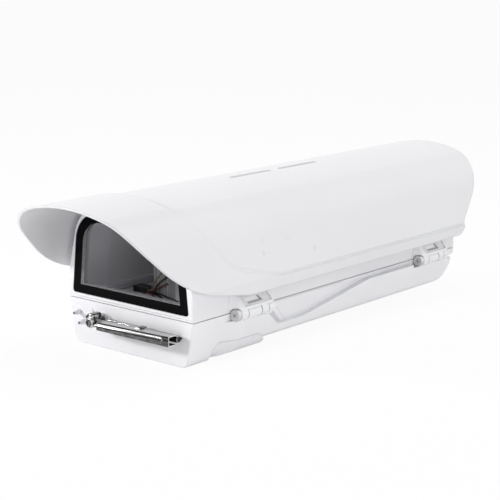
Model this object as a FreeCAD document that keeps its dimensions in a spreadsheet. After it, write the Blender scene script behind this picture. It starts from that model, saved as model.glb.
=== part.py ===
import FreeCAD, Part
import Sketcher
import math
import os

# Outdoor camera housing with a hinged cover, sunshield and window wiper.
# Every piece is drawn from the middle of the front face at the height of the seam:
# x to the side, y to the rear, z up. At the end the pieces are set down so that the
# origin is the centre of the mounting holes on the underside.

V = FreeCAD.Vector
doc = FreeCAD.newDocument("camera_housing")
sheet = doc.addObject("Spreadsheet::Sheet", "Sizes")


class Size:
    """A length that knows its number and the sheet formula that gives it."""

    def __init__(self, number, formula):
        self.number = float(number)
        self.formula = formula

    def __float__(self):
        return self.number

    def __add__(self, other):
        other = as_size(other)
        return Size(self.number + other.number, f"({self.formula} + {other.formula})")

    def __sub__(self, other):
        other = as_size(other)
        return Size(self.number - other.number, f"({self.formula} - {other.formula})")

    def __mul__(self, other):
        other = as_size(other)
        return Size(self.number * other.number, f"({self.formula} * {other.formula})")

    def __truediv__(self, other):
        other = as_size(other)
        return Size(self.number / other.number, f"({self.formula} / {other.formula})")

    def __radd__(self, other):
        return as_size(other) + self

    def __rsub__(self, other):
        return as_size(other) - self

    def __rmul__(self, other):
        return as_size(other) * self

    def __neg__(self):
        return Size(-self.number, f"(0 - {self.formula})")


def as_size(value):
    if isinstance(value, Size):
        return value
    return Size(value, f"({value})" if value < 0 else f"{value}")


rows = []


def size(name, millimetres):
    """Write a driving dimension into the sheet under its own name."""
    rows.append(name)
    cell = f"A{len(rows)}"
    sheet.set(cell, str(millimetres))
    sheet.setAlias(cell, name)
    return Size(millimetres, f"Sizes.{name}")


# Body, from the front face to the rear edge of the flange
body_width = size("body_width", 170.0)
half = body_width / 2
body_length = size("body_length", 451.0)
seam_gap = size("seam_gap", 0.8)
seam = seam_gap / 2
wall = size("wall", 3.0)
front_wall = size("front_wall", 5.0)
rim_width = size("rim_width", 9.0)
mouth_front = size("mouth_front", 12.0)
front_reach = size("front_reach", 240.0)
corner_radius = size("corner_radius", 3.0)
edge_radius = size("edge_radius", 1.6)

# Base: a deep chin at the front, a shallower pan behind it
chin_depth = size("chin_depth", 46.0)
chin_step = size("chin_step", 31.0)
chin_length = size("chin_length", 105.0)
chin_roof = size("chin_roof", 40.0)
pan_depth = size("pan_depth", 36.6)
side_inset = size("side_inset", 8.8)
bottom_radius = size("bottom_radius", 9.0)
rear_setback = size("rear_setback", 16.0)
rear_wall = body_length - rear_setback
rear_radius = size("rear_radius", 27.0)
flange_depth = size("flange_depth", 8.0)
flange_radius = size("flange_radius", 5.0)

# Bulge low on each side, which carries the hinge barrels
bulge_overhang = size("bulge_overhang", 7.4)
bulge_half = half + bulge_overhang
bulge_foot_inset = size("bulge_foot_inset", 1.6)
bulge_foot_half = half - bulge_foot_inset
bulge_radius = size("bulge_radius", 10.0)
bulge_top = size("bulge_top", 4.4)
bulge_start = size("bulge_start", 46.0)
bulge_full = size("bulge_full", 86.0)
bulge_flare = size("bulge_flare", 0.3333)
ledge_drop = size("ledge_drop", 8.2)
ledge_length = size("ledge_length", 66.0)
ledge_lead = size("ledge_lead", 14.2)

# Recess swept along the side behind the front barrels, with a raised panel in it
sweep_front = size("sweep_front", 99.3)
sweep_low_front = size("sweep_low_front", 124.6)
sweep_low_rear = size("sweep_low_rear", 166.5)
sweep_rear = size("sweep_rear", 301.7)
sweep_depth = size("sweep_depth", 24.6)
sweep_radius = size("sweep_radius", 6.0)
sweep_rear_radius = size("sweep_rear_radius", 150.0)
sweep_slant = size("sweep_slant", 0.9)
sweep_reach = size("sweep_reach", 30.0)
sweep_back = size("sweep_back", 12.3)
panel_rise = size("panel_rise", 0.8)
panel_front = size("panel_front", 117.0)
panel_low_front = size("panel_low_front", 138.5)
panel_low_rear = size("panel_low_rear", 168.0)
panel_rear = size("panel_rear", 235.0)
panel_top = size("panel_top", 1.6)
panel_low = size("panel_low", 21.6)
panel_radius = size("panel_radius", 8.0)

# Cover of the wiper compartment, wrapped under the chin
chin_cover_top = size("chin_cover_top", 28.4)
chin_cover_depth = size("chin_cover_depth", 42.5)
chin_cover_front = size("chin_cover_front", 31.6)
chin_cover_shoulder = size("chin_cover_shoulder", 40.9)
chin_cover_waist = size("chin_cover_waist", 94.4)
chin_cover_rear = size("chin_cover_rear", 104.6)
chin_cover_drop = size("chin_cover_drop", 36.3)
chin_cover_radius = size("chin_cover_radius", 8.0)
chin_cover_gap = size("chin_cover_gap", 0.2)
chin_cover_sheet = size("chin_cover_sheet", 1.4)
chin_screw_front = size("chin_screw_front", 43.0)
chin_screw_inset = size("chin_screw_inset", 19.0)
chin_screw_half = half - chin_screw_inset

# Cover
cover_height = size("cover_height", 94.0)
cover_knee_inset = size("cover_knee_inset", 1.0)
cover_knee_half = half - cover_knee_inset
cover_knee_height = size("cover_knee_height", 30.0)
cover_knee_radius = size("cover_knee_radius", 60.0)
cover_top_inset = size("cover_top_inset", 16.4)
cover_top_half = half - cover_top_inset
cover_top_radius = size("cover_top_radius", 34.0)
step_height = size("step_height", 2.2)
step_width = size("step_width", 0.8)
step_depth = size("step_depth", 0.6)

# Window with its black border
glass_low = size("glass_low", 5.7)
glass_drop = size("glass_drop", 5.0)
glass_high = cover_height - glass_drop
glass_foot_inset = size("glass_foot_inset", 6.1)
glass_foot_half = half - glass_foot_inset
glass_head_inset = size("glass_head_inset", 14.8)
glass_head_half = half - glass_head_inset
glass_head_radius = size("glass_head_radius", 32.0)
glass_foot_radius = size("glass_foot_radius", 3.0)
glass_thickness = size("glass_thickness", 4.0)
glass_setback = size("glass_setback", 0.3)
glass_clearance = size("glass_clearance", 0.3)
seal_thickness = size("seal_thickness", 2.0)
ledge_thickness = size("ledge_thickness", 2.6)
border_foot = size("border_foot", 9.2)
sight_low = glass_low + border_foot
border_head = size("border_head", 8.6)
sight_high = glass_high - border_head
border_foot_side = size("border_foot_side", 11.0)
sight_foot_half = glass_foot_half - border_foot_side
border_head_side = size("border_head_side", 9.2)
sight_head_half = glass_head_half - border_head_side
sight_head_radius = size("sight_head_radius", 21.0)
sight_foot_radius = size("sight_foot_radius", 2.0)

# Hinge and latch sets, front and rear
axis_overhang = size("axis_overhang", 6.0)
axis_half = half + axis_overhang
axis_drop = size("axis_drop", 1.5)
barrel_radius = size("barrel_radius", 6.0)
barrel_clearance = size("barrel_clearance", 0.5)
knuckle_gap = size("knuckle_gap", 0.4)
set_front = size("set_front", 57.4)
set_pitch = size("set_pitch", 313.8)
knuckle_one = size("knuckle_one", 9.2)
knuckle_two = size("knuckle_two", 20.0)
knuckle_three = size("knuckle_three", 10.9)
knuckle_four = size("knuckle_four", 9.8)
ledge_rear = set_front + set_pitch - ledge_lead
web_lap = size("web_lap", 0.5)
web_half = axis_half + web_lap
screw_radius = size("screw_radius", 3.0)
screw_clearance = size("screw_clearance", 0.05)
screw_head_radius = size("screw_head_radius", 6.2)
screw_head_length = size("screw_head_length", 5.2)
screw_socket_radius = size("screw_socket_radius", 1.5)
screw_socket_depth = size("screw_socket_depth", 1.0)
head_clearance = size("head_clearance", 0.6)
hook_clearance = size("hook_clearance", 0.3)
bracket_lap = size("bracket_lap", 2.0)
bracket_root = half - bracket_lap
bracket_lip = size("bracket_lip", 0.5)
bracket_shoulder = half + bracket_lip
bracket_height = size("bracket_height", 31.0)
bracket_reach = axis_half + barrel_radius
bracket_nose_run = size("bracket_nose_run", 1.6)
bracket_front = size("bracket_front", 50.5)
bracket_rear = size("bracket_rear", 108.0)
bracket_recess = size("bracket_recess", 1.7)
bracket_slot = size("bracket_slot", 3.2)
recess_front = size("recess_front", 63.5)
recess_length = size("recess_length", 40.6)
recess_low = size("recess_low", 5.6)
recess_lean = size("recess_lean", 10.4)
eyelet_front = size("eyelet_front", 70.6)
eyelet_length = size("eyelet_length", 21.4)
eyelet_low = size("eyelet_low", 7.2)
eyelet_high = size("eyelet_high", 12.8)
eyelet_lean = size("eyelet_lean", 4.6)

# Sunshield
shield_rise = size("shield_rise", 27.1)
shield_apex = cover_height + shield_rise
shield_top_radius = size("shield_top_radius", 178.0)
shield_shoulder_inset = size("shield_shoulder_inset", 7.4)
shield_shoulder_half = half - shield_shoulder_inset
shield_shoulder_rise = size("shield_shoulder_rise", 4.0)
shield_shoulder_height = cover_height + shield_shoulder_rise
shield_shoulder_radius = size("shield_shoulder_radius", 51.0)
shield_overhang = size("shield_overhang", 12.1)
shield_half = half + shield_overhang
shield_knee = size("shield_knee", 30.0)
shield_wall = size("shield_wall", 2.6)
barrel_inset = size("barrel_inset", 2.6)
shield_edge = size("shield_edge", 16.9)
visor_reach = size("visor_reach", 84.8)
rim_drop = size("rim_drop", 5.3)
rim_top = shield_apex - rim_drop
rim_set = size("rim_set", 8.9)
rim_brow_drop = size("rim_brow_drop", 31.6)
rim_brow = shield_apex - rim_brow_drop
rim_brow_radius = size("rim_brow_radius", 100.0)
rim_turn = size("rim_turn", 15.9)
rim_waist = size("rim_waist", 31.6)
rim_waist_radius = size("rim_waist_radius", 125.0)
rim_foot = size("rim_foot", 68.7)
rim_foot_radius = size("rim_foot_radius", 55.0)
shield_tail = size("shield_tail", 65.1)
shield_rear = body_length + shield_tail
rear_foot_inset = size("rear_foot_inset", 2.1)
shield_rear_foot = body_length - rear_foot_inset
rear_foot_radius = size("rear_foot_radius", 14.0)
rear_step = size("rear_step", 9.2)
rear_knee = size("rear_knee", 32.8)
rear_knee_radius = size("rear_knee_radius", 18.0)
rear_shoulder_tail = size("rear_shoulder_tail", 40.8)
rear_shoulder = body_length + rear_shoulder_tail
rear_shoulder_height = size("rear_shoulder_height", 64.2)
rear_shoulder_radius = size("rear_shoulder_radius", 40.0)
rear_neck_tail = size("rear_neck_tail", 53.0)
rear_neck = body_length + rear_neck_tail
rear_neck_drop = size("rear_neck_drop", 27.6)
rear_neck_height = shield_apex - rear_neck_drop
rear_neck_radius = size("rear_neck_radius", 10.0)
rear_drop = size("rear_drop", 8.2)
rear_top = shield_apex - rear_drop
crease_height = size("crease_height", 26.8)
crease_fall = size("crease_fall", 1.2)
crease_start = size("crease_start", 1.8)
crease_brow_drop = size("crease_brow_drop", 19.9)
crease_brow = shield_apex - crease_brow_drop
crease_brow_radius = size("crease_brow_radius", 22.0)
crease_turn = size("crease_turn", 48.5)
crease_waist = size("crease_waist", 44.2)
crease_waist_radius = size("crease_waist_radius", 40.0)
crease_end = size("crease_end", 115.6)
crease_end_radius = size("crease_end_radius", 80.0)
crease_width = size("crease_width", 3.6)
slot_length = size("slot_length", 66.0)
slot_width = size("slot_width", 7.0)
slot_radius = size("slot_radius", 3.0)
slot_drop = size("slot_drop", 11.5)
slot_floor = shield_apex - slot_drop
slot_front = size("slot_front", 151.0)
slot_pitch = size("slot_pitch", 79.0)
spacer_half = size("spacer_half", 30.0)
spacer_radius = size("spacer_radius", 6.0)
spacer_front = size("spacer_front", 110.0)
spacer_pitch = size("spacer_pitch", 240.0)
air_gap = size("air_gap", 8.5)
boss_face = cover_height + air_gap
boss_height = size("boss_height", 4.5)
boss_head = boss_face + boss_height
shield_screw_radius = size("shield_screw_radius", 2.0)
shield_screw_head = size("shield_screw_head", 4.5)
shield_screw_height = size("shield_screw_height", 2.4)
shield_screw_length = size("shield_screw_length", 14.0)

# Seal between base and cover
groove_inset = size("groove_inset", 3.0)
groove_width = size("groove_width", 4.0)
groove_depth = size("groove_depth", 1.6)
gasket_width = size("gasket_width", 3.6)
gasket_height = size("gasket_height", 2.3)

# Tray for the camera, its bosses and the bracket that stands on it
tray_inset = size("tray_inset", 11.0)
tray_half = half - tray_inset
tray_thickness = size("tray_thickness", 2.0)
tray_drop = size("tray_drop", 6.0)
tray_front = size("tray_front", 14.0)
tray_rear_inset = size("tray_rear_inset", 31.0)
tray_rear = body_length - tray_rear_inset
tray_radius = size("tray_radius", 6.0)
tray_boss_inset = size("tray_boss_inset", 12.0)
tray_boss_half = tray_half - tray_boss_inset
tray_boss_front = size("tray_boss_front", 125.0)
tray_boss_rear_inset = size("tray_boss_rear_inset", 30.0)
tray_boss_pitch = tray_rear - tray_boss_rear_inset - tray_boss_front
tray_boss_radius = size("tray_boss_radius", 6.0)
small_screw_radius = size("small_screw_radius", 1.6)
small_head_radius = size("small_head_radius", 3.2)
small_head_height = size("small_head_height", 2.1)
head_chamfer = size("head_chamfer", 0.8)
trim_chamfer = size("trim_chamfer", 0.4)
camera_slot_length = size("camera_slot_length", 150.0)
camera_slot_width = size("camera_slot_width", 6.8)
camera_slot_front = size("camera_slot_front", 96.0)
cable_slot_front = size("cable_slot_front", 150.0)
cable_slot_width = size("cable_slot_width", 12.0)
cable_slot_length = size("cable_slot_length", 40.0)
cable_slot_inset = size("cable_slot_inset", 4.0)
bracket_sheet = size("bracket_sheet", 1.5)
bracket_tall = size("bracket_tall", 36.0)
bracket_left = size("bracket_left", 44.0)
bracket_right = size("bracket_right", 52.0)
bracket_back = size("bracket_back", 118.0)
bracket_bend = size("bracket_bend", 78.0)
bracket_nose = size("bracket_nose", 60.0)
bracket_lead = size("bracket_lead", 16.0)
camera_screw_line = size("camera_screw_line", 104.0)
camera_screw_radius = size("camera_screw_radius", 3.2)
camera_head_radius = size("camera_head_radius", 7.0)
camera_head_height = size("camera_head_height", 2.0)
camera_stud = size("camera_stud", 8.0)

# Underside
plate_half = size("plate_half", 45.0)
plate_length = size("plate_length", 180.0)
plate_radius = size("plate_radius", 8.0)
plate_screw_half = size("plate_screw_half", 36.0)
plate_screw_pitch = size("plate_screw_pitch", 160.0)
plate_grip = size("plate_grip", 7.0)
mount_hole_radius = size("mount_hole_radius", 2.6)
mount_spacing_x = size("mount_spacing_x", 50.0)
mount_spacing_y = size("mount_spacing_y", 70.0)
gland_line = size("gland_line", 348.0)
gland_pitch = size("gland_pitch", 32.0)
gland_radius = size("gland_radius", 9.0)
gland_thread = size("gland_thread", 6.0)
gland_bore = size("gland_bore", 3.5)
gland_flange = size("gland_flange", 3.0)
gland_cap_height = size("gland_cap_height", 14.0)
gland_cap_radius = size("gland_cap_radius", 8.0)
gland_cap_chamfer = size("gland_cap_chamfer", 3.0)
gland_plug_rise = size("gland_plug_rise", 1.5)
gland_inside = size("gland_inside", 8.0)
locknut_radius = size("locknut_radius", 8.5)
locknut_height = size("locknut_height", 3.0)

# Control board in the pan
board_half = size("board_half", 40.0)
board_front = size("board_front", 196.0)
board_length = size("board_length", 88.0)
board_thickness = size("board_thickness", 1.6)
board_rise = size("board_rise", 8.0)
board_margin = size("board_margin", 5.0)
standoff_radius = size("standoff_radius", 3.0)
terminal_half = size("terminal_half", 26.0)
terminal_depth = size("terminal_depth", 9.0)
terminal_height = size("terminal_height", 10.0)

# Wiper drive in the chin
shaft_x = size("shaft_x", -35.0)
shaft_drop = size("shaft_drop", 15.5)
shaft_radius = size("shaft_radius", 3.0)
shaft_front = size("shaft_front", 20.6)
shaft_inside = size("shaft_inside", 18.0)
bush_radius = size("bush_radius", 5.0)
bush_flange_radius = size("bush_flange_radius", 7.0)
bush_flange = size("bush_flange", 1.5)
drive_drop = size("drive_drop", 21.8)
gearbox_radius = size("gearbox_radius", 14.6)
gearbox_length = size("gearbox_length", 23.0)
motor_radius = size("motor_radius", 12.0)
motor_length = size("motor_length", 38.0)
motor_cap_radius = size("motor_cap_radius", 3.0)
motor_cap = size("motor_cap", 3.0)

# Wiper arm and blade
hub_left = size("hub_left", 42.0)
hub_right = size("hub_right", 32.6)
hub_low = size("hub_low", 21.5)
hub_high = size("hub_high", 7.4)
hub_front = size("hub_front", 18.2)
hub_back = size("hub_back", 6.0)
hub_radius = size("hub_radius", 4.0)
nut_radius = size("nut_radius", 5.0)
nut_thickness = size("nut_thickness", 3.2)
tongue_end = size("tongue_end", 22.0)
tongue_half = size("tongue_half", 2.7)
pivot_x = size("pivot_x", -29.0)
pivot_y = size("pivot_y", -12.6)
pivot_radius = size("pivot_radius", 1.5)
ear_radius = size("ear_radius", 3.0)
ear_gap = size("ear_gap", 0.3)
arm_start = size("arm_start", 25.5)
arm_end = size("arm_end", 71.5)
arm_front = size("arm_front", 20.0)
arm_back = size("arm_back", 10.2)
arm_sheet = size("arm_sheet", 0.9)
arm_left_low = size("arm_left_low", 21.4)
arm_left_high = size("arm_left_high", 13.2)
arm_right_low = size("arm_right_low", 20.7)
arm_right_high = size("arm_right_high", 10.7)
rib_radius = size("rib_radius", 1.6)
rib_drop = size("rib_drop", 16.8)
rib_end = size("rib_end", 62.0)
rib_rise = size("rib_rise", 1.6)
spring_thickness = size("spring_thickness", 0.4)
spring_end = size("spring_end", 17.5)
tongue_setback = size("tongue_setback", 2.6)
tongue_back = size("tongue_back", 9.0)
pin_proud = size("pin_proud", 0.4)
carrier_start = size("carrier_start", 22.0)
carrier_end = size("carrier_end", 72.0)
carrier_front = size("carrier_front", 9.2)
carrier_back = size("carrier_back", 4.4)
carrier_low = size("carrier_low", 18.6)
carrier_high = size("carrier_high", 12.6)
rubber_tip = size("rubber_tip", 1.0)
rubber_half = size("rubber_half", 1.1)
rivet_x = size("rivet_x", 26.7)
rivet_y = size("rivet_y", -13.0)
rivet_radius = size("rivet_radius", 1.4)
rivet_head_radius = size("rivet_head_radius", 2.4)
rivet_head = size("rivet_head", 0.9)
tab_half = size("tab_half", 3.0)

# Washer nozzles and plug in the front face
nozzle_radius = size("nozzle_radius", 2.5)
nozzle_length = size("nozzle_length", 8.0)
nozzle_bore = size("nozzle_bore", 0.6)
nozzle_tip = size("nozzle_tip", 2.0)
nozzle_tip_radius = size("nozzle_tip_radius", 1.5)
nozzle_thread = size("nozzle_thread", 2.0)
nozzle_inside = size("nozzle_inside", 11.0)
nozzle_nut_radius = size("nozzle_nut_radius", 3.6)
nozzle_nut_height = size("nozzle_nut_height", 2.5)
nozzle_one_x = size("nozzle_one_x", -70.0)
nozzle_one_drop = size("nozzle_one_drop", 14.0)
nozzle_two_x = size("nozzle_two_x", -63.0)
nozzle_two_drop = size("nozzle_two_drop", 23.0)
plug_x = size("plug_x", -52.5)
plug_drop = size("plug_drop", 10.5)
plug_radius = size("plug_radius", 2.5)
plug_rise = size("plug_rise", 1.5)

# Wires from the wiper drive
lead_radius = size("lead_radius", 0.8)
lead_pitch = size("lead_pitch", 2.0)
lead_rise = size("lead_rise", 0.4)
plug_left = size("plug_left", -61.0)
plug_front = size("plug_front", 67.0)
plug_width = size("plug_width", 18.0)
plug_depth = size("plug_depth", 12.0)
plug_height = size("plug_height", 6.0)


# Drawing helpers

def bind(obj, prop, value):
    """Tie a property to the sheet."""
    obj.setExpression(prop, as_size(value).formula)


places = {}


def place(obj, x, y, z):
    """Put an object at a point that follows the sheet."""
    places[obj.Name] = (as_size(x), as_size(y), as_size(z))
    for axis, value in zip("xyz", (x, y, z)):
        bind(obj, f"Placement.Base.{axis}", value)
    return obj


def corner_geometry(points):
    """Start, end, centre, radius and turn of each corner of a closed outline."""
    found = []
    for i, point in enumerate(points):
        here = V(float(point[0]), float(point[1]), 0)
        before = points[i - 1]
        after = points[(i + 1) % len(points)]
        to_before = (V(float(before[0]), float(before[1]), 0) - here).normalize()
        to_after = (V(float(after[0]), float(after[1]), 0) - here).normalize()
        if len(point) == 2:
            found.append((here, here, None, 0.0, 0.0))
            continue
        radius = float(point[2])
        half_angle = to_before.getAngle(to_after) / 2
        reach = radius / math.tan(half_angle)
        middle = (to_before + to_after).normalize()
        centre = here + middle * (radius / math.sin(half_angle))
        turn = to_after.cross(to_before).z
        found.append((here + to_before * reach, here + to_after * reach, centre, radius, turn))
    return found


def draw_outline(sketch, points):
    """Closed outline in a sketch; a corner is (u, v) or (u, v, radius), tied to the sheet."""
    corners = corner_geometry(points)
    count = len(points)
    lines = []
    for i in range(count):
        begin = corners[i][1]
        end = corners[(i + 1) % count][0]
        lines.append(sketch.addGeometry(Part.LineSegment(begin, end)))
    for i, point in enumerate(points):
        line_in = lines[i - 1]
        line_out = lines[i]
        start, end, centre, radius, turn = corners[i]
        if radius == 0.0:
            sketch.addConstraint(Sketcher.Constraint("Coincident", line_in, 2, line_out, 1))
            anchor = (line_out, 1)
        else:
            angle_start = math.atan2(start.y - centre.y, start.x - centre.x)
            angle_end = math.atan2(end.y - centre.y, end.x - centre.x)
            circle = Part.Circle(centre, V(0, 0, 1), radius)
            if turn > 0:
                arc = sketch.addGeometry(Part.ArcOfCircle(circle, angle_start, angle_end))
                ends = (1, 2)
            else:
                arc = sketch.addGeometry(Part.ArcOfCircle(circle, angle_end, angle_start))
                ends = (2, 1)
            sketch.addConstraint(Sketcher.Constraint("Tangent", line_in, 2, arc, ends[0]))
            sketch.addConstraint(Sketcher.Constraint("Tangent", arc, ends[1], line_out, 1))
            held = sketch.addConstraint(Sketcher.Constraint("Radius", arc, radius))
            bind(sketch, f"Constraints[{held}]", point[2])
            here = V(float(point[0]), float(point[1]), 0)
            mark = sketch.addGeometry(Part.Point(here), True)
            sketch.addConstraint(Sketcher.Constraint("PointOnObject", mark, 1, line_in))
            sketch.addConstraint(Sketcher.Constraint("PointOnObject", mark, 1, line_out))
            anchor = (mark, 1)
        for kind, value in (("DistanceX", point[0]), ("DistanceY", point[1])):
            held = sketch.addConstraint(
                Sketcher.Constraint(kind, -1, 1, anchor[0], anchor[1], float(value)))
            bind(sketch, f"Constraints[{held}]", value)


def draw_circle(sketch, u, v, radius):
    """Circle in a sketch, tied to the sheet."""
    circle = Part.Circle(V(float(u), float(v), 0), V(0, 0, 1), float(radius))
    index = sketch.addGeometry(circle)
    held = sketch.addConstraint(Sketcher.Constraint("Radius", index, float(radius)))
    bind(sketch, f"Constraints[{held}]", radius)
    for kind, value in (("DistanceX", u), ("DistanceY", v)):
        held = sketch.addConstraint(Sketcher.Constraint(kind, -1, 1, index, 3, float(value)))
        bind(sketch, f"Constraints[{held}]", value)


def sketch_on(body, name, plane, offset=0):
    """Empty sketch on one of the body's own origin planes, moved along its normal."""
    sketch = body.newObject("Sketcher::SketchObject", name)
    for feature in body.Origin.OriginFeatures:
        if feature.Role == plane:
            sketch.AttachmentSupport = [(feature, "")]
    sketch.MapMode = "FlatFace"
    bind(sketch, "AttachmentOffset.Base.z", offset)
    return sketch


def new_body(name):
    return doc.addObject("PartDesign::Body", name)


def pad(body, sketch, length):
    feature = body.newObject("PartDesign::Pad", sketch.Name + "_pad")
    feature.Profile = sketch
    bind(feature, "Length", length)
    return feature


def pocket(body, sketch, length, reverse=False):
    feature = body.newObject("PartDesign::Pocket", sketch.Name + "_pocket")
    feature.Profile = sketch
    bind(feature, "Length", length)
    feature.Reversed = reverse
    return feature


def toward(value, other, step):
    """The value moved by a step in the direction of another one, or left if they are equal."""
    way = (float(other) > float(value)) - (float(other) < float(value))
    return as_size(value) + as_size(step) * way if way else as_size(value)


def chamfered(profile):
    """Cut off the square corners of a profile that have a third value, which is the chamfer."""
    points = []
    for i, corner in enumerate(profile):
        if len(corner) == 2:
            points.append(corner)
            continue
        along, radius, chamfer = corner
        for near in (profile[i - 1], profile[(i + 1) % len(profile)]):
            points.append((toward(along, near[0], chamfer), toward(radius, near[1], chamfer)))
    return points


def turned(name, profile, x, y, z, axis=V(0, 1, 0)):
    """Turned piece: a closed profile of (distance along the axis, radius, chamfer) corners."""
    body = new_body(name)
    sketch = sketch_on(body, name + "_profile", "XZ_Plane")
    draw_outline(sketch, [(radius, along) for along, radius in chamfered(profile)])
    feature = body.newObject("PartDesign::Revolution", name + "_turn")
    feature.Profile = sketch
    feature.ReferenceAxis = (sketch, ["V_Axis"])
    feature.Angle = 360
    body.Placement.Rotation = FreeCAD.Rotation(V(0, 0, 1), axis)
    return place(body, x, y, z)


plane_turn = {
    "XY_Plane": FreeCAD.Rotation(),
    "XZ_Plane": FreeCAD.Rotation(V(1, 0, 0), 90),
    "YZ_Plane": FreeCAD.Rotation(V(1, 1, 1), 120),
}
plane_step = {"XY_Plane": "z", "XZ_Plane": "y", "YZ_Plane": "x"}
plane_way = {"XY_Plane": V(0, 0, 1), "XZ_Plane": V(0, 1, 0), "YZ_Plane": V(1, 0, 0)}


def prism(name, plane, points, start, length, inset=None):
    """Straight extrusion of an outline along the axis that its plane faces."""
    sketch = doc.addObject("Sketcher::SketchObject", name + "_outline")
    sketch.Placement.Rotation = plane_turn[plane]
    bind(sketch, f"Placement.Base.{plane_step[plane]}", start)
    draw_outline(sketch, points)
    base = sketch
    if inset is not None:
        base = doc.addObject("Part::Offset2D", name + "_inset")
        base.Source = sketch
        base.Join = "Intersection"
        base.Value = -float(as_size(inset))
        bind(base, "Value", -as_size(inset))
    solid = doc.addObject("Part::Extrusion", name)
    solid.Base = base
    solid.DirMode = "Custom"
    solid.Dir = plane_way[plane]
    bind(solid, "LengthFwd", length)
    solid.Solid = True
    return solid


def box(name, low, high):
    """Block between two opposite corners."""
    solid = doc.addObject("Part::Box", name)
    for prop, first, last in zip(("Length", "Width", "Height"), low, high):
        bind(solid, prop, as_size(last) - first)
    return place(solid, *low)


def rod(name, radius, length, base, way=V(0, 1, 0)):
    """Cylinder from a base point along one axis."""
    solid = doc.addObject("Part::Cylinder", name)
    bind(solid, "Radius", radius)
    bind(solid, "Height", length)
    solid.Placement.Rotation = FreeCAD.Rotation(V(0, 0, 1), way)
    return place(solid, *base)


def fuse(name, parts):
    solid = doc.addObject("Part::MultiFuse", name)
    solid.Shapes = parts
    solid.Refine = True
    return solid


def common(name, first, second):
    solid = doc.addObject("Part::Common", name)
    solid.Base = first
    solid.Tool = second
    return solid


def cut(name, first, tools):
    solid = doc.addObject("Part::Cut", name)
    solid.Base = first
    solid.Tool = tools[0] if len(tools) == 1 else fuse(name + "_tools", tools)
    return solid


def mirrored(name, source):
    """The same form on the other side of the housing."""
    solid = doc.addObject("Part::Mirroring", name)
    solid.Source = source
    solid.Normal = V(1, 0, 0)
    return solid


def group(name, parts):
    """Like pieces that stay separate solids under one name."""
    solid = doc.addObject("Part::Compound", name)
    solid.Links = parts
    return solid


def moved(name, source, y):
    """A copy of a form further along the housing."""
    return place(group(name, [source]), 0, y, 0)


def both_sides(name, source):
    return group(name, [source, mirrored(name + "_left", source)])


def rounded(name, source, radius, chosen):
    """Round those edges of a solid that the test picks."""
    doc.recompute()
    solid = doc.addObject("Part::Fillet", name)
    solid.Base = source
    picked = []
    for number, edge in enumerate(source.Shape.Edges, 1):
        if chosen(edge):
            picked.append((number, float(radius), float(radius)))
    solid.Edges = picked
    return solid


sub_parts = []


def keep(obj, name):
    """Name a finished sub-part and set it down into the part's own frame."""
    x, y, z = places.get(obj.Name, (as_size(0), as_size(0), as_size(0)))
    place(obj, x, y - front_reach, z + chin_depth)
    obj.Label = name
    sub_parts.append(obj)
    return obj


# Base casting: a tapered pan with the deep chin at its front

def base_outline():
    foot = half - side_inset
    return [(-half, -seam), (half, -seam), (foot, -chin_depth, bottom_radius),
            (-foot, -chin_depth, bottom_radius)]


def plan_outline():
    return [(-half, 0), (half, 0), (half, body_length, corner_radius),
            (-half, body_length, corner_radius)]


def front_edge(edge):
    """Edges round the front face, except those along the seam."""
    box_of = edge.BoundBox
    at_seam = box_of.ZLength < 0.01 and abs(box_of.ZMin) < float(seam_gap)
    return box_of.YMax < 0.01 and not at_seam


core_long = prism("core_long", "YZ_Plane", [
    (0, -seam), (body_length, -seam), (body_length, -flange_depth, flange_radius),
    (rear_wall, -flange_depth), (rear_wall, -pan_depth, rear_radius), (chin_length, -pan_depth),
    (chin_length, -chin_roof), (chin_step, -chin_roof), (chin_step, -chin_depth), (0, -chin_depth)],
    -half, body_width)
core_side = prism("core_side", "XZ_Plane", base_outline(), 0, body_length)
core_plan = prism("core_plan", "XY_Plane", plan_outline(), -chin_depth, chin_depth)
core = common("core", common("core_raw", core_long, core_side), core_plan)
core_soft = rounded("core_soft", core, edge_radius, front_edge)

# Bulges on both sides, stepped down under the barrels and swept open behind them
bulge_wide = bulge_half + 1
core_taper = side_inset / chin_depth
bulge_taper = (bulge_half - bulge_foot_half) / (pan_depth - bulge_top)


def bulge_outline(depth):
    foot = bulge_foot_half - bulge_taper * (depth - pan_depth)
    return [(-bulge_half, -bulge_top), (bulge_half, -bulge_top), (foot, -depth, bulge_radius),
            (-foot, -depth, bulge_radius)]


def flare(name, inset, depth):
    """Plan of the bulges, flaring out of the tapered sides of the core."""
    run = bulge_full - chin_step
    root = half - (bulge_start - chin_step) * bulge_flare - inset
    right = prism(name, "XY_Plane", [
        (half / 2, chin_step), (root, chin_step), (root + run * bulge_flare, bulge_full),
        (root + run * bulge_flare, rear_wall, bulge_radius), (half / 2, rear_wall)], 0,
        depth * 1.02)
    right.Dir = V(-float(core_taper), 0, -1)
    bind(right, "Dir.x", -core_taper)
    return both_sides(name + "_both", right)


bulges_long = prism("bulges_long", "XZ_Plane", bulge_outline(pan_depth), chin_step,
                    rear_wall - chin_step)
bulges_rear = prism("bulges_rear", "YZ_Plane", [
    (chin_step, -bulge_top), (rear_wall, -bulge_top), (rear_wall, -pan_depth, rear_radius),
    (chin_step, -pan_depth)], -bulge_wide, bulge_wide * 2)
bulges = common("bulges", common("bulges_raw", bulges_long, bulges_rear),
                flare("flare", 0, pan_depth))
front_ledge = box("front_ledge", (-bulge_wide, bulge_start - 1, -ledge_drop),
                  (bulge_wide, bulge_start + ledge_length, 1))
rear_ledge = box("rear_ledge", (-bulge_wide, ledge_rear, -ledge_drop),
                 (bulge_wide, body_length, 1))
sweep = prism("sweep", "YZ_Plane", [
    (sweep_front, 0), (sweep_low_front, -sweep_depth, sweep_radius),
    (sweep_low_rear, -sweep_depth, sweep_rear_radius), (sweep_rear, 0)], half, sweep_reach)
sweep.Dir = V(1, -float(sweep_slant), 0)
bind(sweep, "Dir.y", -sweep_slant)
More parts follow.
